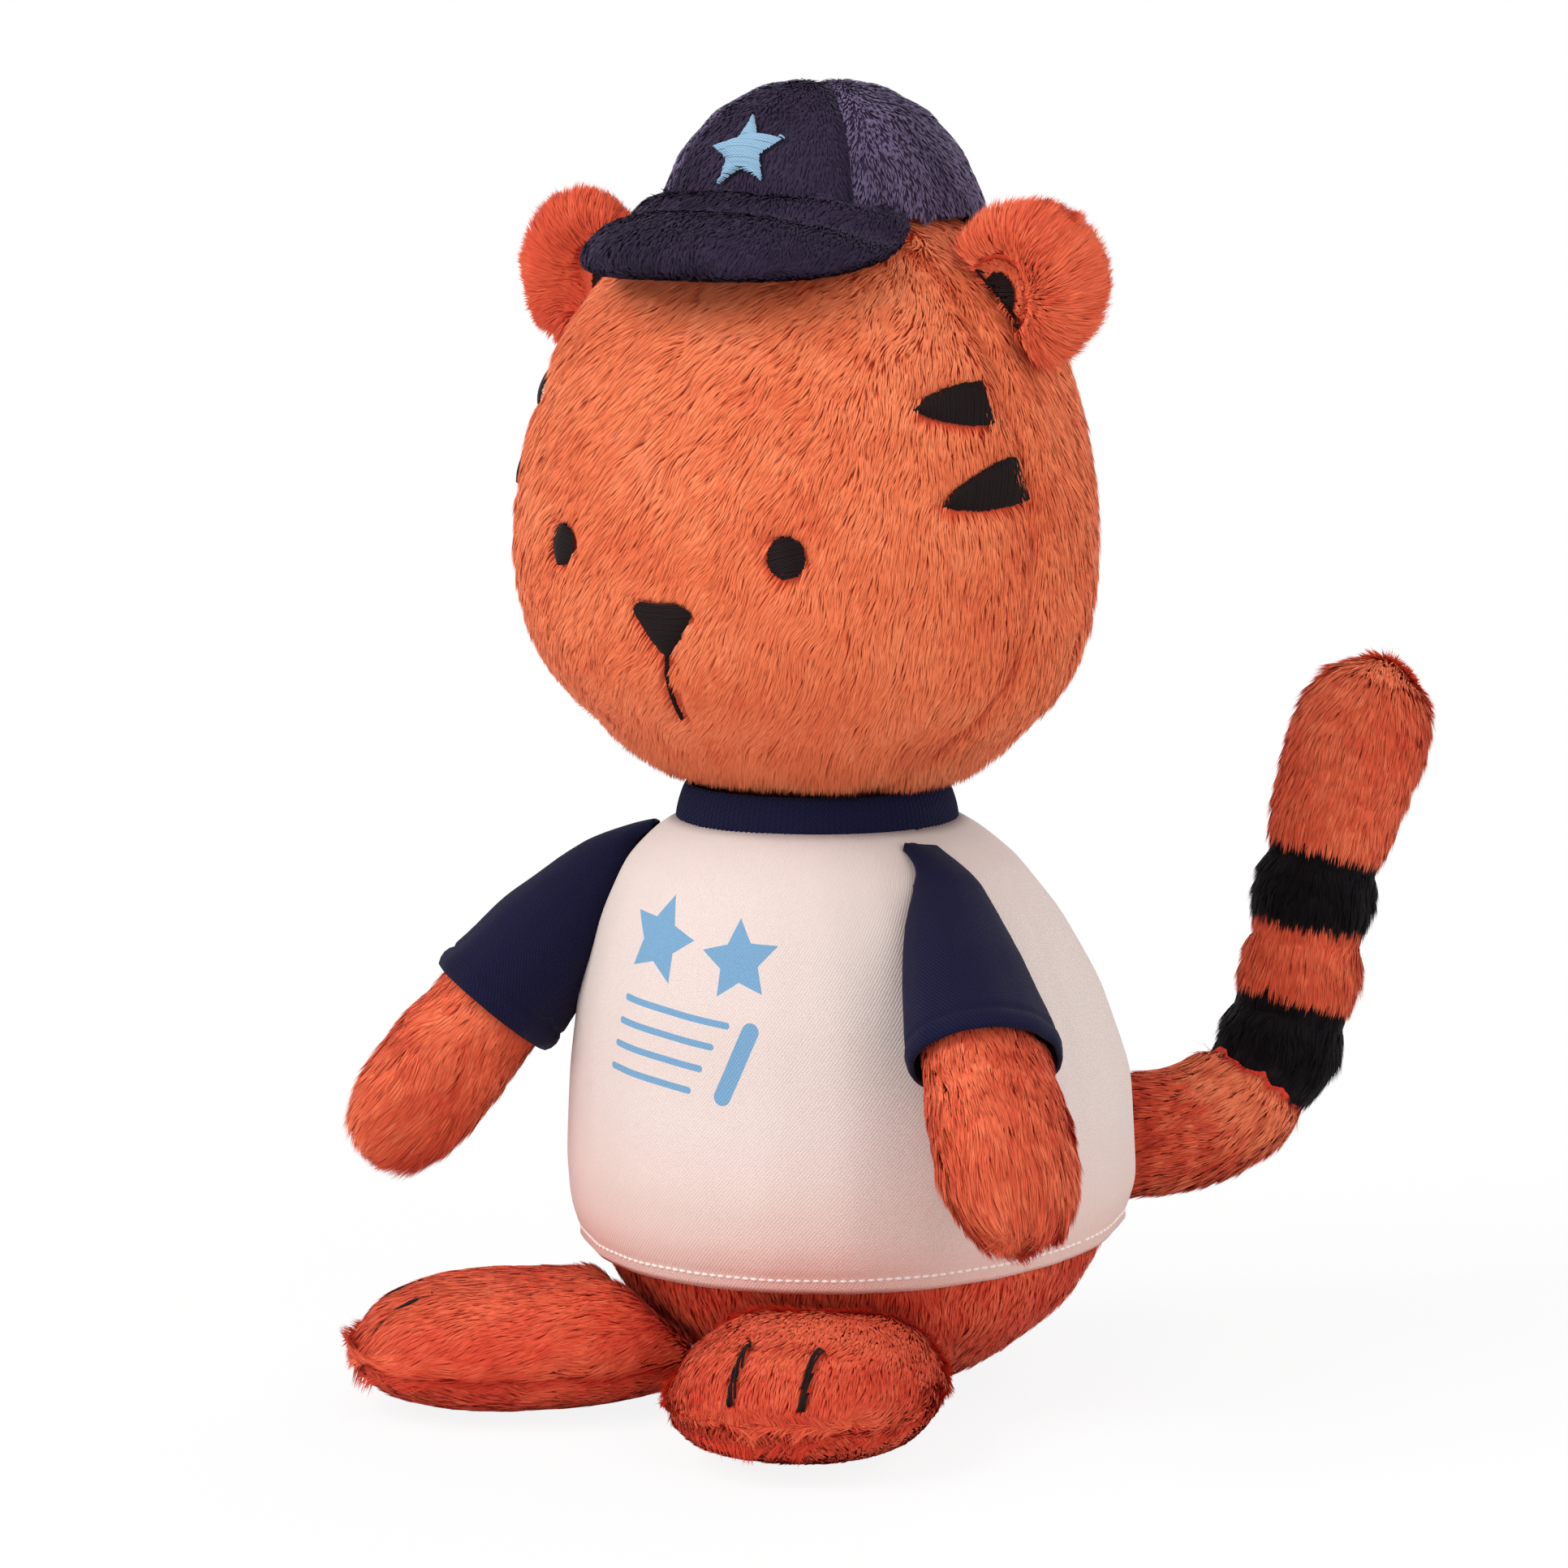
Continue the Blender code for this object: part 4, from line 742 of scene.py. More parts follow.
def capsule_row(name, spots, outs, pitch, length, thick, finish, body):
    """A row of stitches: short rounded threads laid end to end along a line of spots."""
    spots, outs = np.array(spots), np.array(outs)
    steps = steps_along(spots)
    points, faces = [], []
    sections, sides = 5, 6
    for number in range(int(steps[-1] / pitch)):
        base = len(points)
        for section in range(sections):
            share = section / (sections - 1)
            at = number * pitch + share * length
            centre = along_line(at, steps, spots)
            out = unit(along_line(at, steps, outs)[None, :])[0]
            way = unit((along_line(at + 1e-4, steps, spots) - centre)[None, :] + 1e-12)[0]
            side = np.cross(out, way)
            bulge = math.sin(math.pi * share)
            radius = thick / 2 * (0.35 + 0.65 * bulge ** 0.5)
            lift = thick * 0.45 * bulge - thick * 0.15
            for corner in range(sides):
                turn = 2 * math.pi * corner / sides
                points.append(
                    centre + out * (lift + radius * math.sin(turn)) + side * radius * math.cos(turn)
                )
        last = len(points) - sides
        for near in range(base, last, sides):
            for corner in range(sides):
                after = (corner + 1) % sides
                faces.append((
                    near + corner, near + after, near + sides + after, near + sides + corner
                ))
        faces += [tuple(reversed(range(base, base + sides))), tuple(range(last, last + sides))]
    mesh = bpy.data.meshes.new(name)
    mesh.from_pydata(points, [], faces)
    shape = bmesh.new()
    shape.from_mesh(mesh)
    bmesh.ops.recalc_face_normals(shape, faces=shape.faces)
    shape.to_mesh(mesh)
    shape.free()
    mesh.shade_smooth()
    mesh.materials.append(finish)
    row = linked(name, mesh)
    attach(row, body)


def thread_finish(name, colour, dark, roughness=0.5):
    """Twisted thread with a soft shine, its plies as fine slanted bands."""
    made, tree, shader = finish_of(name, colour, roughness, 0.07)
    place = new_node(tree, "TexCoord").outputs["Object"]
    plies = new_node(
        tree, "TexWave", {"Vector": place, "Scale": 700.0, "Distortion": 2.0},
        bands_direction="DIAGONAL",
    ).outputs["Fac"]
    feed(tree, shader, {"Base Color": ramp(tree, plies, ((0.2, dark), (0.8, colour)))})
    return made


white_thread = thread_finish("white_thread", (0.93, 0.86, 0.83), (0.82, 0.72, 0.68))
hem_spots, hem_outs = [], []
for column in range(SHIRT_COLUMNS + 1):
    angle = 2 * math.pi * column / SHIRT_COLUMNS
    hem_rise = HEM_FOLD / (SHIRT_TOP - hem_at(angle))
    hem_spots.append(shirt_spot(hem_rise, column / SHIRT_COLUMNS))
    hem_outs.append((math.cos(angle), math.sin(angle), 0.0))
capsule_row(
    "shirt_hem_stitch", hem_spots, hem_outs, THREAD_PITCH, THREAD_LENGTH, HEM_THREAD,
    white_thread, "torso",
)

# The collar: a band of dark navy rib knit, doubled over at its top, sewn round the neck.
COLLAR_LOW, COLLAR_HEIGHT = 0.1368, 0.0085
COLLAR_RADIUS, COLLAR_TAPER = 0.0333, -0.0024
COLLAR_RIBS, COLLAR_RIB_DEPTH = 150, 0.00016


def collar_spot(rise, around):
    """A point of the collar, ribbed, fuller in its middle and tucked in at both edges."""
    angle = 2 * math.pi * around
    radius = COLLAR_RADIUS + COLLAR_TAPER * rise
    radius += 0.0006 * math.sin(math.pi * rise) ** 0.5 - 0.0004
    radius += COLLAR_RIB_DEPTH * math.cos(COLLAR_RIBS * angle)
    z = COLLAR_LOW + COLLAR_HEIGHT * rise
    return Vector((radius * math.cos(angle), radius * math.sin(angle) - NECK_FORWARD, z))


navy, navy_tree, navy_shader, navy_stitch = knit_finish(
    "navy_knit", (0.0130, 0.0125, 0.0560), (0.004, 0.004, 0.018), 0.00070, 0.00030, 0.6
)
feed(navy_tree, navy_shader, {"Base Color": navy_stitch})
collar = cloth_tube(
    "collar_rib", 10, COLLAR_RIBS * 4, collar_spot, 0.0012, (0.200, 0.008), navy,
    ("shirt_collar",),
)
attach(collar, "torso")

# The head: a big stuffed ball of the same plush, seamed at both sides, its face pile brushed down
# and across towards its right cheek. The neck goes down through the collar.
HEAD_SEAM_FORWARD, HEAD_SEAM_DIP, HEAD_SEAM_WIDTH = 0.0310, 0.0018, 0.0024
HEAD_SEAM_TOP = 0.262
HEAD_PILE_BOTTOM, FACE_PILE_BACK = 0.1440, -0.010
CROWN_BASE, CROWN_RADIUS, CROWN_FORWARD = 0.2680, 0.0405, 0.0130
PATCH_GAP = 0.0004
FACE_PATCHES = (
    "eye_left", "eye_right", "nose", "mouth_line", "cheek_stripe_left_1", "cheek_stripe_left_2",
    "cheek_stripe_right_1", "cheek_stripe_right_2",
)

face_backing = backing_finish("face_backing", (0.80, 0.105, 0.046))
head = stuffed(
    "head_plush", ("face_left", "face_right", "head_back", "head_stuffing"), 0.0040, 14,
    face_backing, swell=BIG_SWELL,
)
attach(head, "head")


def from_side_seam(places):
    """How far behind the head's side seams each place is."""
    return places[:, 1] + HEAD_SEAM_FORWARD


head_places = places_of(head.data)
seam_dip = HEAD_SEAM_DIP * bell(from_side_seam(head_places), HEAD_SEAM_WIDTH)
press_in(head.data, seam_dip * rising(-head_places[:, 2], -HEAD_SEAM_TOP, 0.006))

body_pile = pile_finish(
    "body_pile", (0.78, 0.064, 0.030), (0.64, 0.068, 0.032), (0.78, 0.126, 0.056),
    (0.90, 0.210, 0.096), 0.06, (1.0, 0.60, 0.45),
)
# The palest copy of the orange pile, for the head: partly its own colour, partly painted light
# where the head faces the key lamp.
face_pile_painted_light = pile_finish(
    "face_pile_painted_light", (0.84, 0.090, 0.038), (0.72, 0.110, 0.045), (0.86, 0.200, 0.080),
    (0.96, 0.300, 0.138), 0.07, (1.0, 0.68, 0.50),
)


def face_flow(places, outs):
    """Fur brushed down and towards the right cheek all over the face, and straight down behind."""
    front = rising(-places[:, 1], 0.0, 0.03)
    across = -front * (0.70 - 0.45 * rising(places[:, 0], 0.0, 0.060))
    return np.stack([across, 0.35 * (1.0 - front), -np.ones(len(places))], axis=1)


def on_head(places):
    """What the collar and the cap leave of the head."""
    out = np.hypot(places[:, 0], places[:, 1] + CROWN_FORWARD)
    capped = (out < CROWN_RADIUS - 0.010) & (places[:, 2] > CROWN_BASE - 0.003)
    return (places[:, 2] > HEAD_PILE_BOTTOM) & ~capped


def chin_hang(places):
    """How far the fur under the chin and round the neck hangs straight down over the collar."""
    return 0.85 * rising(-places[:, 2], -0.1640, 0.012)


def head_trim(places):
    """Pile laid apart along the side seams and high on the middle one, and short at the neck."""
    kept = np.ones(len(places))
    kept -= 0.45 * bell(places[:, 0], 0.0009) * (places[:, 1] < -0.02) * (places[:, 2] > 0.235)
    kept -= 0.55 * bell(from_side_seam(places), 0.0013)
    return kept - 0.28 * rising(-places[:, 2], -0.158, 0.008)


def painted_head_shading(places):
    """Painted shade: deeper colour along the side seams and below. Painted light: paler on the
    forehead.
    """
    deep = 0.45 * bell(from_side_seam(places), 0.0018)
    return 0.10 * np.clip((places[:, 2] - 0.20) / 0.05, -1.0, 1.0) - deep


face_patches = [(nodes[name], PATCH_GAP) for name in FACE_PATCHES]
for word, side in (("left", 1), ("right", -1)):
    pile(
        "face_pile_painted_light_" + word, head, 58000, 0.0056, 0.00040, face_flow, face_pile_painted_light, 20 + side,
        keep=lambda p, s=side: on_head(p) & (p[:, 0] * s > 0) & (p[:, 1] < FACE_PILE_BACK),
        trim=head_trim, tone=painted_head_shading, patches=face_patches, hang=chin_hang, grain=0.75,
        mottle=0.9, body="head",
    )
pile(
    "head_back_pile", head, 44000, 0.0060, 0.00052, face_flow, face_pile_painted_light, 23, body="head",
    keep=lambda p: on_head(p) & (p[:, 1] >= FACE_PILE_BACK), trim=head_trim, tone=painted_head_shading,
    patches=face_patches, hang=chin_hang,
)

# The ears: small pads of plush sewn into the side seams, cupped at the front round a black patch,
# with long pile standing out all round the rim.
EAR_TURN = math.radians(12.0)
EAR_FRONT_DEPTH = 0.0045
EAR_CUP_DEPTH, EAR_CUP_RADIUS = 0.0052, 0.0095
EAR_RIM_ROLL, EAR_RIM_START, EAR_RIM_WIDTH = 0.0020, 0.0065, 0.0070
# Painted light and shade: the left ear's pile is made paler and the right ear's deeper.
EAR_PAINTED_SHADING = {"left": 0.10, "right": -0.28}


def middle_of(node_name):
    """The middle of a CAD node's box."""
    low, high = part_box(node_name)
    return (np.array(low) + np.array(high)) / 2


for word, side in (("left", 1), ("right", -1)):
    ear = stuffed(
        "ear_plush_" + word, ("ear_" + word,), 0.0020, 6, face_backing, inset=0.0014, swell=0.0
    )
    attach(ear, "head")
    ear_front = np.array([side * math.sin(EAR_TURN), -math.cos(EAR_TURN), 0.0])
    cup = middle_of("ear_patch_" + word)

    def from_cup(places, cup=cup, front=ear_front):
        """How far each place is from the middle of the cup, across the ear."""
        shift = places - cup
        return np.linalg.norm(shift - (shift @ front)[:, None] * front, axis=1)

    ear_places = places_of(ear.data)
    gaps = from_cup(ear_places)
    facing = (ear_places - middle_of("ear_" + word)) @ ear_front
    facing = eased(rising(facing, 0.0, EAR_FRONT_DEPTH))
    dip = EAR_CUP_DEPTH * np.exp(-(gaps / EAR_CUP_RADIUS) ** 3)
    roll = EAR_RIM_ROLL * eased(rising(gaps, EAR_RIM_START, EAR_RIM_WIDTH))
    put_places(ear.data, ear_places + ear_front * ((roll - dip) * facing)[:, None])
    pile(
        "ear_pile_" + word, ear, 18000, 0.0060, 0.00040,
        lambda p, n, c=cup: unit(p - c) + [[0.0, 0.0, 0.15]], body_pile, 30 + side,
        trim=lambda p, rule=from_cup: 0.65 + 0.45 * np.clip(rule(p) / 0.018, 0.0, 1.3),
        patches=[(nodes["ear_patch_" + word], 0.0002)], tone=EAR_PAINTED_SHADING[word], lean=0.60,
        body="head",
    )

# The embroidery: satin stitch in black thread. Close threads lie side by side across each shape,
# raised in the middle, with slightly ragged ends that sink into the fur.
SATIN_STEP, SATIN_RAGGED, SATIN_SECTION = 0.0002, 0.0003, 0.0009
SATIN_LIFT, SATIN_RISE, SATIN_SINK = 0.0014, 0.0006, 0.0008
FACE_SLANTS = (0.25, -0.25, 0.0, 0.1, 1.45, 1.35, 1.70, 1.80)
black_thread = thread_finish("black_thread", (0.018, 0.010, 0.010), (0.005, 0.003, 0.003), 0.50)


def satin(
    name, node_name, skin, slant, pitch, finish, seed, body="head",
    lift=SATIN_LIFT, up=Vector((0.0, 0.0, 1.0)), out=None, grow=0.0,
):
    """Threads across the outline of a CAD patch, laid on a skin in its place."""
    rng = np.random.default_rng(seed)
    patch = nodes[node_name]
    patch_tree, skin_tree = tree_of(patch), tree_of(skin)
    spots = places_of(patch.data)
    centre = Vector((spots.min(axis=0) + spots.max(axis=0)) / 2)
    out = out or skin_tree.find_nearest(centre)[1]
    across = up.cross(out).normalized()
    up = out.cross(across)
    along = across * math.cos(slant) + up * math.sin(slant)
    over = out.cross(along)
    reach = float(np.linalg.norm(spots - np.array(centre), axis=1).max()) + 0.001
    points, faces = [], []
    for line in range(int(2 * reach / pitch)):
        level = -reach + pitch * (line + 0.5)
        inside = [0]
        for step in range(int(2 * reach / SATIN_STEP)):
            shift = -reach + SATIN_STEP * step
            start = centre + along * shift + over * level + out * 0.02
            inside.append(patch_tree.ray_cast(start, -out, 0.04)[0] is not None)
        edges = np.flatnonzero(np.diff(np.array(inside + [0], dtype=int)))
        for begin, end in zip(edges[::2], edges[1::2]):
            first = -reach + SATIN_STEP * begin - rng.uniform(0.0, SATIN_RAGGED) - grow
            last = -reach + SATIN_STEP * (end - 1) + rng.uniform(0.0, SATIN_RAGGED) + grow
            if last - first < SATIN_RAGGED:
                continue
            sections = max(4, int((last - first) / SATIN_SECTION) + 2)
            wobble = rng.normal(scale=pitch * 0.12)
            base = len(points)
            for section in range(sections):
                share = section / (sections - 1)
                shift = first + (last - first) * share
                start = centre + along * shift + over * (level + wobble) + out * 0.02
                found, normal = skin_tree.ray_cast(start, -out, 0.05)[:2]
                if found is None:
                    found, normal = skin_tree.find_nearest(start - out * 0.02)[:2]
                bulge = math.sin(math.pi * min(0.97, max(0.03, share))) ** 0.45
                height = lift - SATIN_SINK + (SATIN_SINK + SATIN_RISE) * bulge
                for corner in range(5):
                    turn = math.pi * corner / 4
                    wide = pitch * 0.66 * math.cos(turn)
                    tall = pitch * 0.55 * math.sin(turn) - pitch * 0.2
                    points.append(found + normal * (height + tall) + over * wide)
            for low in range(base, len(points) - 5, 5):
                for corner in range(low, low + 4):
                    faces.append((corner, corner + 5, corner + 6, corner + 1))
    mesh = bpy.data.meshes.new(name)
    mesh.from_pydata(points, [], faces)
    mesh.shade_smooth()
    if float((normals_of(mesh) @ np.array(out)).mean()) < 0:
        mesh.flip_normals()
    mesh.materials.append(finish)
    piece = linked(name, mesh)
    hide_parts(node_name)
    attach(piece, body)


for number, (stitch_name, slant) in enumerate(zip(FACE_PATCHES, FACE_SLANTS)):
    satin(
        stitch_name + "_stitch", stitch_name, head, slant, 0.00042, black_thread, 41 + number,
        grow=-0.0004 if stitch_name == "mouth_line" else 0.0,
    )
for word, side in (("left", 1), ("right", -1)):
    satin(
        f"ear_patch_{word}_stitch", "ear_patch_" + word, bpy.data.objects["ear_plush_" + word],
        0.0, 0.00045, black_thread, 49,
        out=Vector((side * math.sin(EAR_TURN), -math.cos(EAR_TURN), 0.0)),
    )

# The cap: four panels of short navy plush over a pad, seams drawn in between them, a stuffed brim
# creased near the crown, and a pale blue star stitched on the front.
CROWN_SEAMS = (math.radians(45.0), math.radians(135.0))
CROWN_SEAM_DIP, CROWN_SEAM_WIDTH = 0.0016, 0.0016
CROWN_TUCK, CROWN_TUCK_HEIGHT = 0.0050, 0.006
BRIM_CREASE, BRIM_CREASE_PLACE, BRIM_CREASE_WIDTH = 0.0018, 0.0070, 0.0035
BRIM_ROLL, BRIM_ROLL_START, BRIM_ROLL_LENGTH = 0.0010, 0.010, 0.012
cap_backing = backing_finish("cap_backing", (0.040, 0.027, 0.058))
cap_pile = pile_finish(
    "cap_pile", (0.050, 0.034, 0.070), (0.020, 0.013, 0.030), (0.041, 0.027, 0.059),
    (0.185, 0.137, 0.250), 0.05, (0.75, 0.68, 1.0),
)
crown = stuffed(
    "cap_crown", (
        "cap_crown_left", "cap_crown_back", "cap_crown_right", "cap_crown_front", "cap_crown_pad"
    ), 0.0025, 6, cap_backing, inset=0.0008, swell=SMALL_SWELL,
)
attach(crown, "head")


def crown_seam(places, turn, width):
    """1 on one of the two seams over the crown, dying away over this width."""
    along = places[:, 1] + CROWN_FORWARD
    return bell(-places[:, 0] * math.sin(turn) + along * math.cos(turn), width)


crown_places = places_of(crown.data)
for turn in CROWN_SEAMS:
    drawn = CROWN_SEAM_DIP * crown_seam(crown_places, turn, CROWN_SEAM_WIDTH)
    crown_places -= normals_of(crown.data) * drawn[:, None]
crown_tucked = rising(-crown_places[:, 2], -(CROWN_BASE + CROWN_TUCK_HEIGHT), CROWN_TUCK_HEIGHT)
crown_places[:, 2] -= CROWN_TUCK * crown_tucked
put_places(crown.data, crown_places)


def panel_painted_light(places):
    """Painted light: the side panels and the back are paler than the front one, where the nap
    catches more light.
    """
    along = places[:, 1] + CROWN_FORWARD
    sides = np.abs(places[:, 0]) > np.abs(along)
    return np.where(sides, 0.36, np.where(along > 0.0, 0.25, -0.20))


pile(
    "cap_crown_pile", crown, 44000, 0.0020, 0.00041, downward, cap_pile, 51,
    keep=lambda p: p[:, 2] > 0.256, lean=0.25, lock=0.0012,
    trim=lambda p: 1.0 - 0.5 * sum(crown_seam(p, turn, 0.0009) for turn in CROWN_SEAMS),
    tone=panel_painted_light, mottle=0.7, parted=0.2, grain=0.25,
    patches=[(nodes["cap_emblem"], 0.0003)], body="head",
)

brim = stuffed(
    "cap_brim_plush", ("cap_brim",), 0.0025, 5, cap_backing, inset=0.0008,
    swell=SMALL_SWELL,
)
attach(brim, "head")
brim_places = places_of(brim.data)
from_crown = np.hypot(brim_places[:, 0], brim_places[:, 1] + CROWN_FORWARD) - CROWN_RADIUS
crease = BRIM_CREASE * bell(from_crown - BRIM_CREASE_PLACE, BRIM_CREASE_WIDTH)
crease *= np.clip(normals_of(brim.data)[:, 2] * 2.0, 0.0, 1.0)
press_in(brim.data, crease - BRIM_ROLL * rising(from_crown, BRIM_ROLL_START, BRIM_ROLL_LENGTH))
# The brim's pile is painted darker overall and paler towards its end on the toy's right: painted
# shade and painted light.
pile(
    "cap_brim_pile", brim, 33000, 0.0024, 0.00038,
    lambda p, n: p * [[12.0, 0.0, 0.0]] - [[0.0, 1.0, 0.4]], cap_pile, 52,
    lean=0.28, lock=0.0014, mottle=0.8, parted=0.4, grain=0.5, body="head",
    tone=lambda p: -0.24 + 0.26 * rising(-p[:, 0], 0.005, 0.025),
)

blue_thread = thread_finish("blue_thread", (0.30, 0.47, 0.62), (0.20, 0.34, 0.48), 0.40)
satin("cap_star_stitch", "cap_emblem", crown, 0.0, 0.00036, blue_thread, 53)

# The arms: flat stuffed paws of plush in short raglan sleeves of navy knit, each hem turned up
# under a black seam.
SHOULDER = Vector((0.0395, -0.0260, 0.1330))
ARM_SPREAD, ARM_REACH_FORWARD = math.radians(33.0), math.radians(25.0)
SLEEVE_LENGTH, SLEEVE_WALL = 0.0570, 0.0010
SLEEVE_SIZE, SLEEVE_AREA = (0.110, 0.060), 0.0044
SLEEVE_COLUMNS, SLEEVE_ROWS = 84, 46
SLEEVE_JOIN, SLEEVE_END, SLEEVE_TUBE_SHARE = 0.0130, 0.0040, 0.80
SLEEVE_HEM = 0.0045
RAGLAN_REACH, RAGLAN_CLEARANCE = 0.0070, 0.0010
PAW_START, PAW_LENGTH = 0.060, 0.035


def give(cloths):
    """Fixes where each cloth stands into its points."""
    for cloth in cloths:
        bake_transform(cloth)


for word, side in (("right", -1), ("left", 1)):
    shoulder = Vector((side * SHOULDER.x, SHOULDER.y, SHOULDER.z))
    along = Vector((
        side * math.sin(ARM_SPREAD) * math.cos(ARM_REACH_FORWARD),
        -math.sin(ARM_REACH_FORWARD),
        -math.cos(ARM_SPREAD) * math.cos(ARM_REACH_FORWARD),
    ))
    outward = Vector((side * math.cos(ARM_SPREAD), 0.0, math.sin(ARM_SPREAD)))
    outward = (outward - outward.dot(along) * along).normalized()
    across = outward.cross(along)
    neckward = Vector((-side * 0.85, -0.05, 0.50)).normalized()
    arm_nodes = ("arm_skin_" + word, "arm_stuffing_" + word)
    arm = stuffed(
        "arm_plush_" + word, arm_nodes, 0.0025, 8, orange_backing, inset=0.0017,
        swell=SMALL_SWELL,
    )
    sleeve_tree = form_tree(("sleeve_" + word, *arm_nodes), 0.0020, 8)

    def tube_spot(distance, angle):
        """A point of the sleeve at this distance down the arm, and its way out."""
        way = across * math.cos(angle) + outward * math.sin(angle)
        middle = shoulder + along * distance
        found = sleeve_tree.ray_cast(middle + way * 0.05, -way, 0.05)[0]
        return (found or middle + way * 0.002), way

    def sleeve_spot(rise, around):
        """A point of the sleeve, from its hem up to its seam on the shoulder."""
        angle = 2 * math.pi * around
        distance = SLEEVE_JOIN - SLEEVE_LENGTH
        distance = SLEEVE_LENGTH + min(1.0, rise / SLEEVE_TUBE_SHARE) * distance
        closing = max(0.0, (rise - SLEEVE_TUBE_SHARE) / (1.0 - SLEEVE_TUBE_SHARE))
        distance -= closing * (SLEEVE_JOIN - SLEEVE_END)
        found, way = tube_spot(distance, angle)
        from_hem = SLEEVE_LENGTH - distance
        ease = 0.0002 + 0.0005 * bell(from_hem - 0.002, 0.002)
        ease -= 0.0006 * bell(from_hem - SLEEVE_HEM, 0.0006)
        ease += 0.0004 * waves(np.array([found]), 0.030, 401)[0]
        spot = found + way * float(ease)
        if closing > 0.0:
            above = min(1.0, max(0.0, 0.5 + 1.5 * math.sin(angle)))
            seam = tube_spot(SLEEVE_END, angle)[0] + neckward * RAGLAN_REACH * above
            near, normal = dressed_tree.find_nearest(seam)[:2]
            spot = spot.lerp(near + normal * RAGLAN_CLEARANCE, above * eased(closing))
            near, normal = dressed_tree.find_nearest(spot)[:2]
            height = (spot - near).dot(normal)
            if height < RAGLAN_CLEARANCE:
                spot += normal * (RAGLAN_CLEARANCE - height) * above
        return spot

    sleeve = cloth_tube(
        "sleeve_knit_" + word, SLEEVE_ROWS, SLEEVE_COLUMNS, sleeve_spot, SLEEVE_WALL,
        SLEEVE_SIZE, navy, ("sleeve_" + word,),
    )
    hem_rise = SLEEVE_TUBE_SHARE * SLEEVE_HEM / (SLEEVE_LENGTH - SLEEVE_JOIN)
    turns = [column / SLEEVE_COLUMNS for column in range(SLEEVE_COLUMNS + 1)]
    capsule_row(
        "sleeve_stitch_" + word, [sleeve_spot(hem_rise, turn) for turn in turns],
        [tube_spot(0.0, 2 * math.pi * turn)[1] for turn in turns],
        0.0022, 0.0020, 0.00050, black_thread, "arm_" + word,
    )

    def down_arm(places, start=np.array(shoulder), way=np.array(along)):
        """How far down the arm each place is."""
        return (places - start) @ way

    pile(
        "arm_pile_" + word, arm, 27000, 0.0064, 0.00043,
        lambda p, n, way=np.array(along): way + 0.0 * p, body_pile, 60 + side,
        trim=lambda p: 0.80 + 0.70 * rising(down_arm(p), PAW_START, PAW_LENGTH),
        keep=lambda p: down_arm(p) > SLEEVE_LENGTH - 0.004,
        lean=0.42, lock=0.0024, mottle=1.4, body="arm_" + word,
    )
    give((arm, sleeve))

# The feet: broad flat paddles of plush, an upper and a sole sewn round the rim, with two long
# black stitches over the toes. The fur of the toy's right foot lies over its stitches, and that
# of the left one is kept off them.
FEET = (
    ("right", -1, math.radians(46.0), Vector((-0.02086, -0.02015, 0.0)), 0.0005),
    ("left", 1, math.radians(18.0), Vector((0.00896, -0.02758, 0.0)), SATIN_LIFT),
)
FOOT_SEAM_HEIGHT, FOOT_SEAM_DIP, FOOT_SEAM_WIDTH = 0.0120, 0.0012, 0.0013
FOOT_RIM_HEIGHT, FOOT_RIM_WIDTH = 0.0140, 0.0030


def rim_bell(places):
    """How near each place is to the foot's rim, a little above the seam."""
    return bell(places[:, 2] - FOOT_RIM_HEIGHT, FOOT_RIM_WIDTH)


def painted_foot_shading(places):
    """Painted shade deep in the seam, and painted light paler just above it and on top."""
    heights = places[:, 2]
    tones = 0.06 - 0.45 * bell(heights - 0.0112, 0.0012) + 0.22 * bell(heights - 0.0150, 0.0022)
    return tones + 0.26 * rising(heights, 0.0200, 0.0080)


for word, side, splay, heel, thread_lift in FEET:
    toe_way = Vector((side * math.sin(splay), -math.cos(splay), 0.0))
    foot = stuffed(
        "foot_plush_" + word, ("foot_upper_" + word, "foot_sole_" + word, "foot_stuffing_" + word),
        0.0030, 8, orange_backing, inset=0.0015,
    )
    heights = places_of(foot.data)[:, 2]
    press_in(foot.data, FOOT_SEAM_DIP * bell(heights - FOOT_SEAM_HEIGHT, FOOT_SEAM_WIDTH))
    stitch_names = [f"toe_stitch_{word}_{number}" for number in (1, 2)]
    foot_pile = pile(
        "foot_pile_" + word, foot, 42000, 0.0050, 0.00047,
        lambda p, n, way=np.array(toe_way): way + 0.8 * n * [[1.0, 1.0, 0.0]],
        deep_pile_painted_shade, 70 + side, keep=lambda p: p[:, 2] > 0.0020,
        trim=lambda p: 1.0 + 0.50 * rim_bell(p), lean=lambda p: 0.08 + 0.46 * rim_bell(p),
        patches=[(nodes[name], 0.0003) for name in stitch_names] if word == "left" else (),
        lock=0.0016, tone=painted_foot_shading, parted=0.4, grain=0.8,
    )
    give((foot, foot_pile))
    for number, name in enumerate(stitch_names):
        satin(
            name + "_thread", name, foot, math.pi / 2, 0.00050, black_thread, 76 + number,
            body="foot_" + word, lift=thread_lift, up=toe_way, grow=-0.00022,
        )

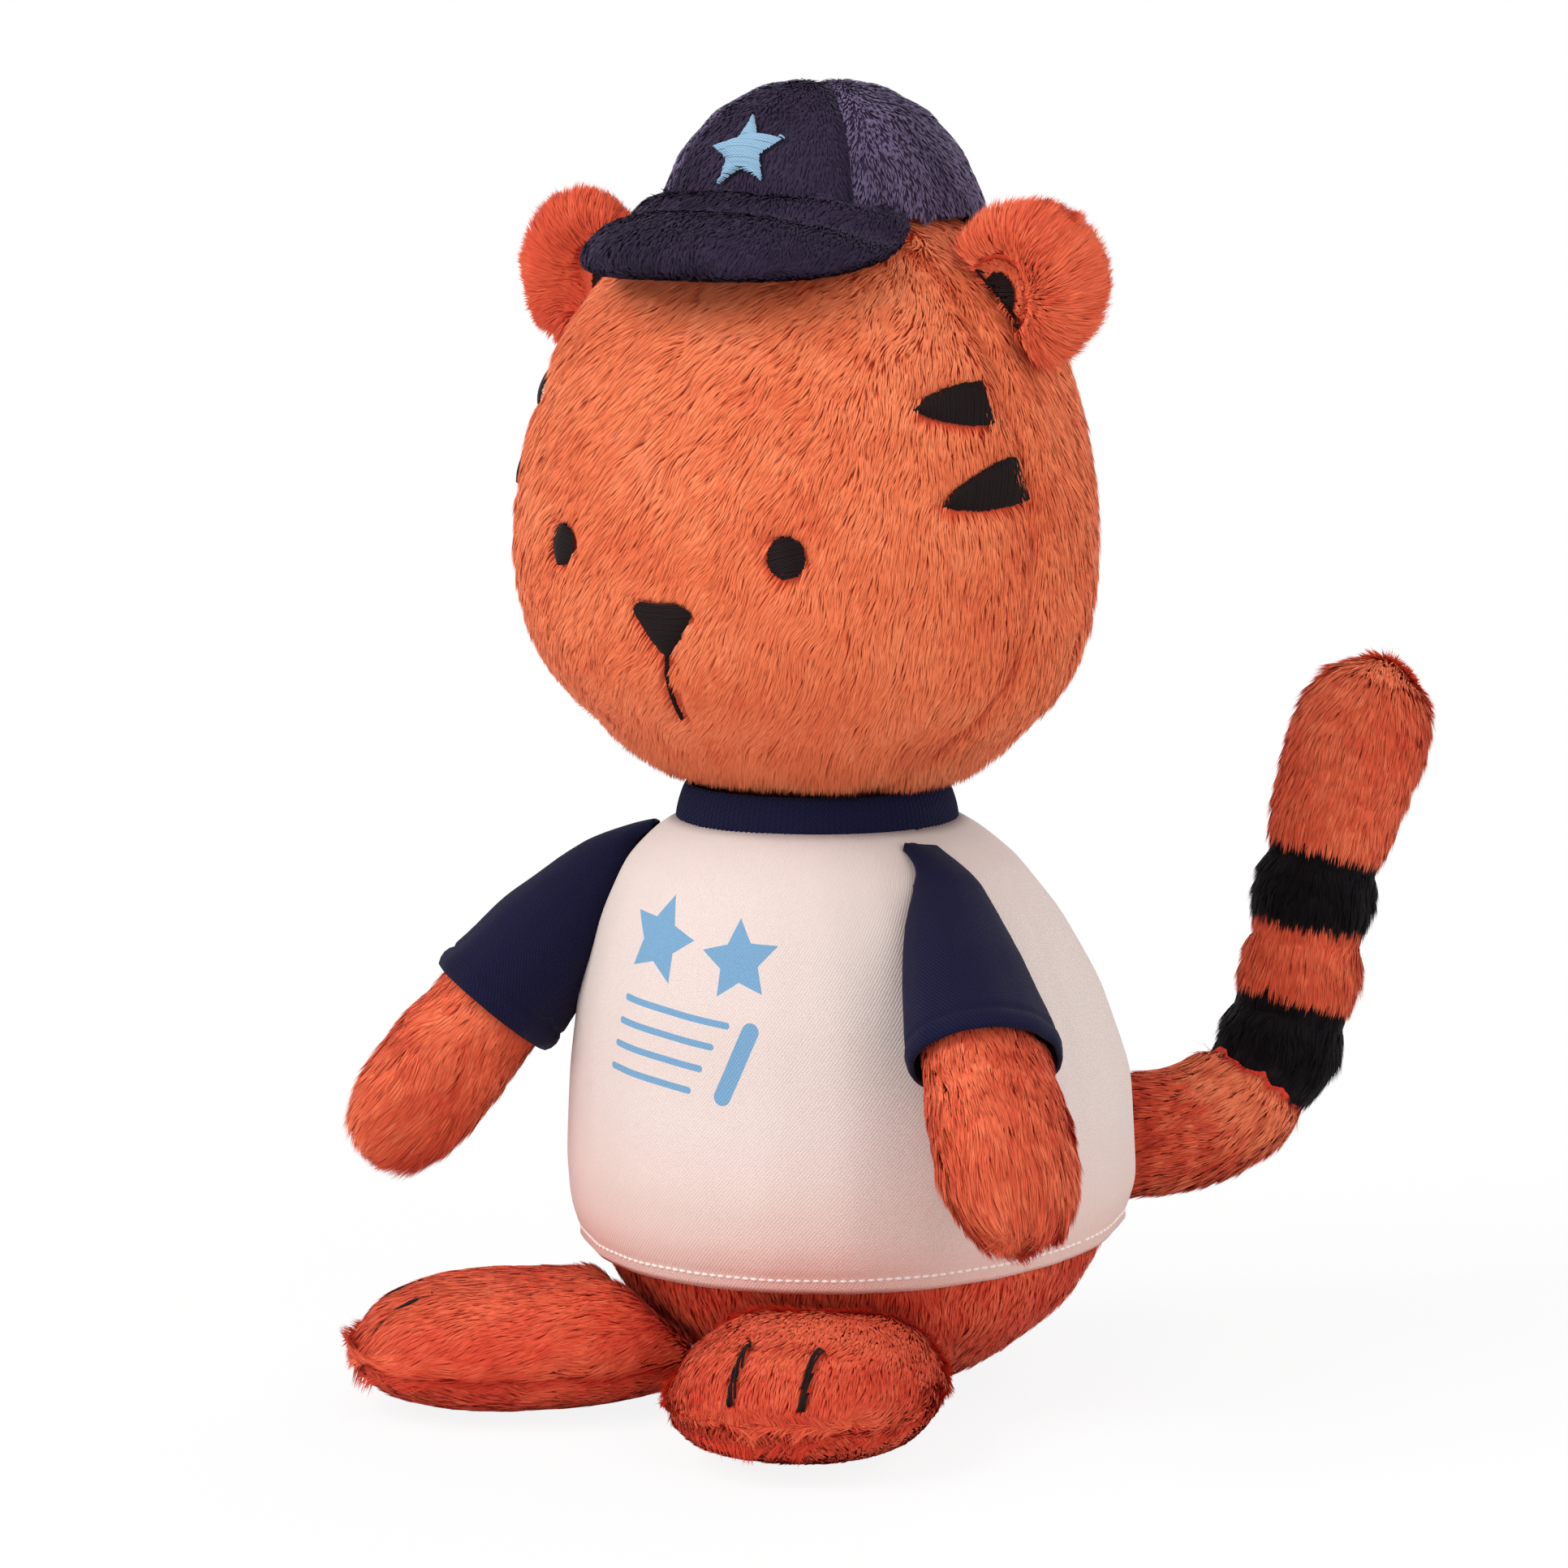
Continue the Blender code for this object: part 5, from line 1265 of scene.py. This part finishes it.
# The tail: a stuffed tube of plush that leaves the back flat, runs along the floor and curls up,
# with two black bands sewn in.
TAIL_LINE_SHARES = (
    (0.000, 0.000), (0.170, 0.000), (0.340, 0.008), (0.500, 0.022), (0.642, 0.085),
    (0.728, 0.192), (0.770, 0.320), (0.805, 0.490), (0.862, 0.676), (0.935, 0.860),
    (1.000, 1.000),
)
TAIL_REACH, TAIL_RISE = 0.1080, 0.1185
TAIL_ROOT = np.array([0.0, 0.0668, 0.0435])
TAIL_SWING = math.radians(34.0)
TAIL_ROOT_END = 0.436
TAIL_LENGTHS = (
    ("tail_band_1_pile", 0.412, "black_plush", 14000),
    ("tail_middle_pile", 0.540, "orange_plush", 13000),
    ("tail_band_2_pile", 0.642, "black_plush", 13000),
    ("tail_tip_coat", 0.741, "orange_plush", 28000),
)
tail_rows = np.array(TAIL_LINE_SHARES) * [TAIL_REACH, TAIL_RISE]
tail_out = np.array([math.sin(TAIL_SWING), math.cos(TAIL_SWING), 0.0])
tail_line = TAIL_ROOT + tail_rows[:, :1] * tail_out + tail_rows[:, 1:] * [[0.0, 0.0, 1.0]]
tail_shares = steps_along(tail_line)
tail_shares /= tail_shares[-1]
fine_shares = np.linspace(0.0, 1.0, 401)
fine_line = along_line(fine_shares, tail_shares, tail_line)
fine_ways = unit(np.gradient(fine_line, axis=0))
for _ in range(30):
    fine_ways[1:-1] = unit(fine_ways[:-2] + fine_ways[1:-1] * 2 + fine_ways[2:])


def tail_numbers(places):
    """Which point of the tail's middle line is nearest to each place."""
    found = []
    for block in np.array_split(places, max(1, len(places) // 4000)):
        gaps = np.linalg.norm(block[:, None, :] - fine_line[None, :, :], axis=2)
        found.append(gaps.argmin(axis=1))
    return np.concatenate(found)


def tail_share(places):
    """How far along the tail each place is, from 0 at the back to 1 at the tip."""
    return fine_shares[tail_numbers(places)]


def tail_flow(places, outs):
    """Fur that runs down along the tail, laid over to the front at its very tip."""
    over = rising(tail_share(places), 0.94, 0.050)[:, None]
    return 1.3 * over * [[0.100, -0.995, 0.0]] - fine_ways[tail_numbers(places)]


def tail_lean(places):
    """Fur that stands off the cloth, and lies flatter over the tail's very tip."""
    return 0.48 - 0.22 * rising(tail_share(places), 0.94, 0.04)


def painted_tail_shading(places):
    """Painted shade where the tail leaves the back, and painted light low down, where it bends up
    and over its very tip.
    """
    shares = tail_share(places)
    low = 0.25 * rising(-places[:, 2], -TAIL_ROOT[2], 0.020)
    base = 0.85 * rising(shares, 0.06, 0.30) - 0.45 + low
    return np.where(shares < TAIL_ROOT_END, base, 0.45 * rising(shares, 0.92, 0.06))


def between(start, end):
    """Keeps a length of the tail."""
    def keep(places):
        shares = tail_share(places)
        return (shares >= start) & (shares < end)
    return keep


black_pile = pile_finish(
    "black_pile", (0.003, 0.002, 0.003), (0.003, 0.002, 0.003), (0.004, 0.003, 0.004),
    (0.012, 0.009, 0.012), 0.03, (1.0, 0.8, 0.8),
)
# Its dark end is painted shade, where the tail leaves the back.
tail_root_pile_painted_shade = pile_finish(
    "tail_root_pile_painted_shade", (0.66, 0.050, 0.026), (0.34, 0.018, 0.012), (0.70, 0.080, 0.038),
    (0.94, 0.250, 0.115), 0.06, (1.0, 0.55, 0.40),
)
# The tip's pile has paler roots: painted light, for the light that shines through the fur at the
# tip.
tail_tip_pile_painted_light = pile_finish(
    "tail_tip_pile_painted_light", (0.88, 0.110, 0.050), (0.70, 0.078, 0.036), (0.80, 0.130, 0.058),
    (0.93, 0.240, 0.110), 0.06, (1.0, 0.55, 0.40),
)
tail_base = stuffed(
    "tail_base_plush", ("tail_base", "tail_base_stuffing"), 0.0022, 6, orange_backing,
    inset=0.0006, swell=0.0008,
    thin=lambda p: np.maximum(rising(p[:, 1], TAIL_ROOT[1], 0.030), 0.15),
)
tail_base_pile = pile(
    "tail_base_pile", tail_base, 27000, 0.0062, 0.00048, tail_flow, tail_root_pile_painted_shade, 81,
    keep=between(0.0, TAIL_ROOT_END), lean=0.45, lock=0.0020, tone=painted_tail_shading, mottle=0.8,
)
give(
    (tail_base, tail_base_pile),
)
tail_end = stuffed(
    "tail_end_plush", (
        "tail_band_1", "tail_middle", "tail_band_2", "tail_tip", "tail_stuffing"
    ), 0.0022, 6, orange_backing, inset=0.0004, swell=0.0008,
)
tail_coats = [tail_end]
tail_stops = [row[1] for row in TAIL_LENGTHS[1:]] + [1.01]
tail_finishes = (black_pile, body_pile, black_pile, tail_tip_pile_painted_light)
for number, (name, start, slot, strands) in enumerate(TAIL_LENGTHS):
    tail_coats.append(pile(
        name, tail_end, strands, 0.0066, 0.00044, tail_flow, tail_finishes[number], 82 + number,
        keep=between(start, tail_stops[number]), lean=tail_lean, lock=0.0020, tone=painted_tail_shading,
    ))
for cloth in tail_coats:
    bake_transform(cloth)
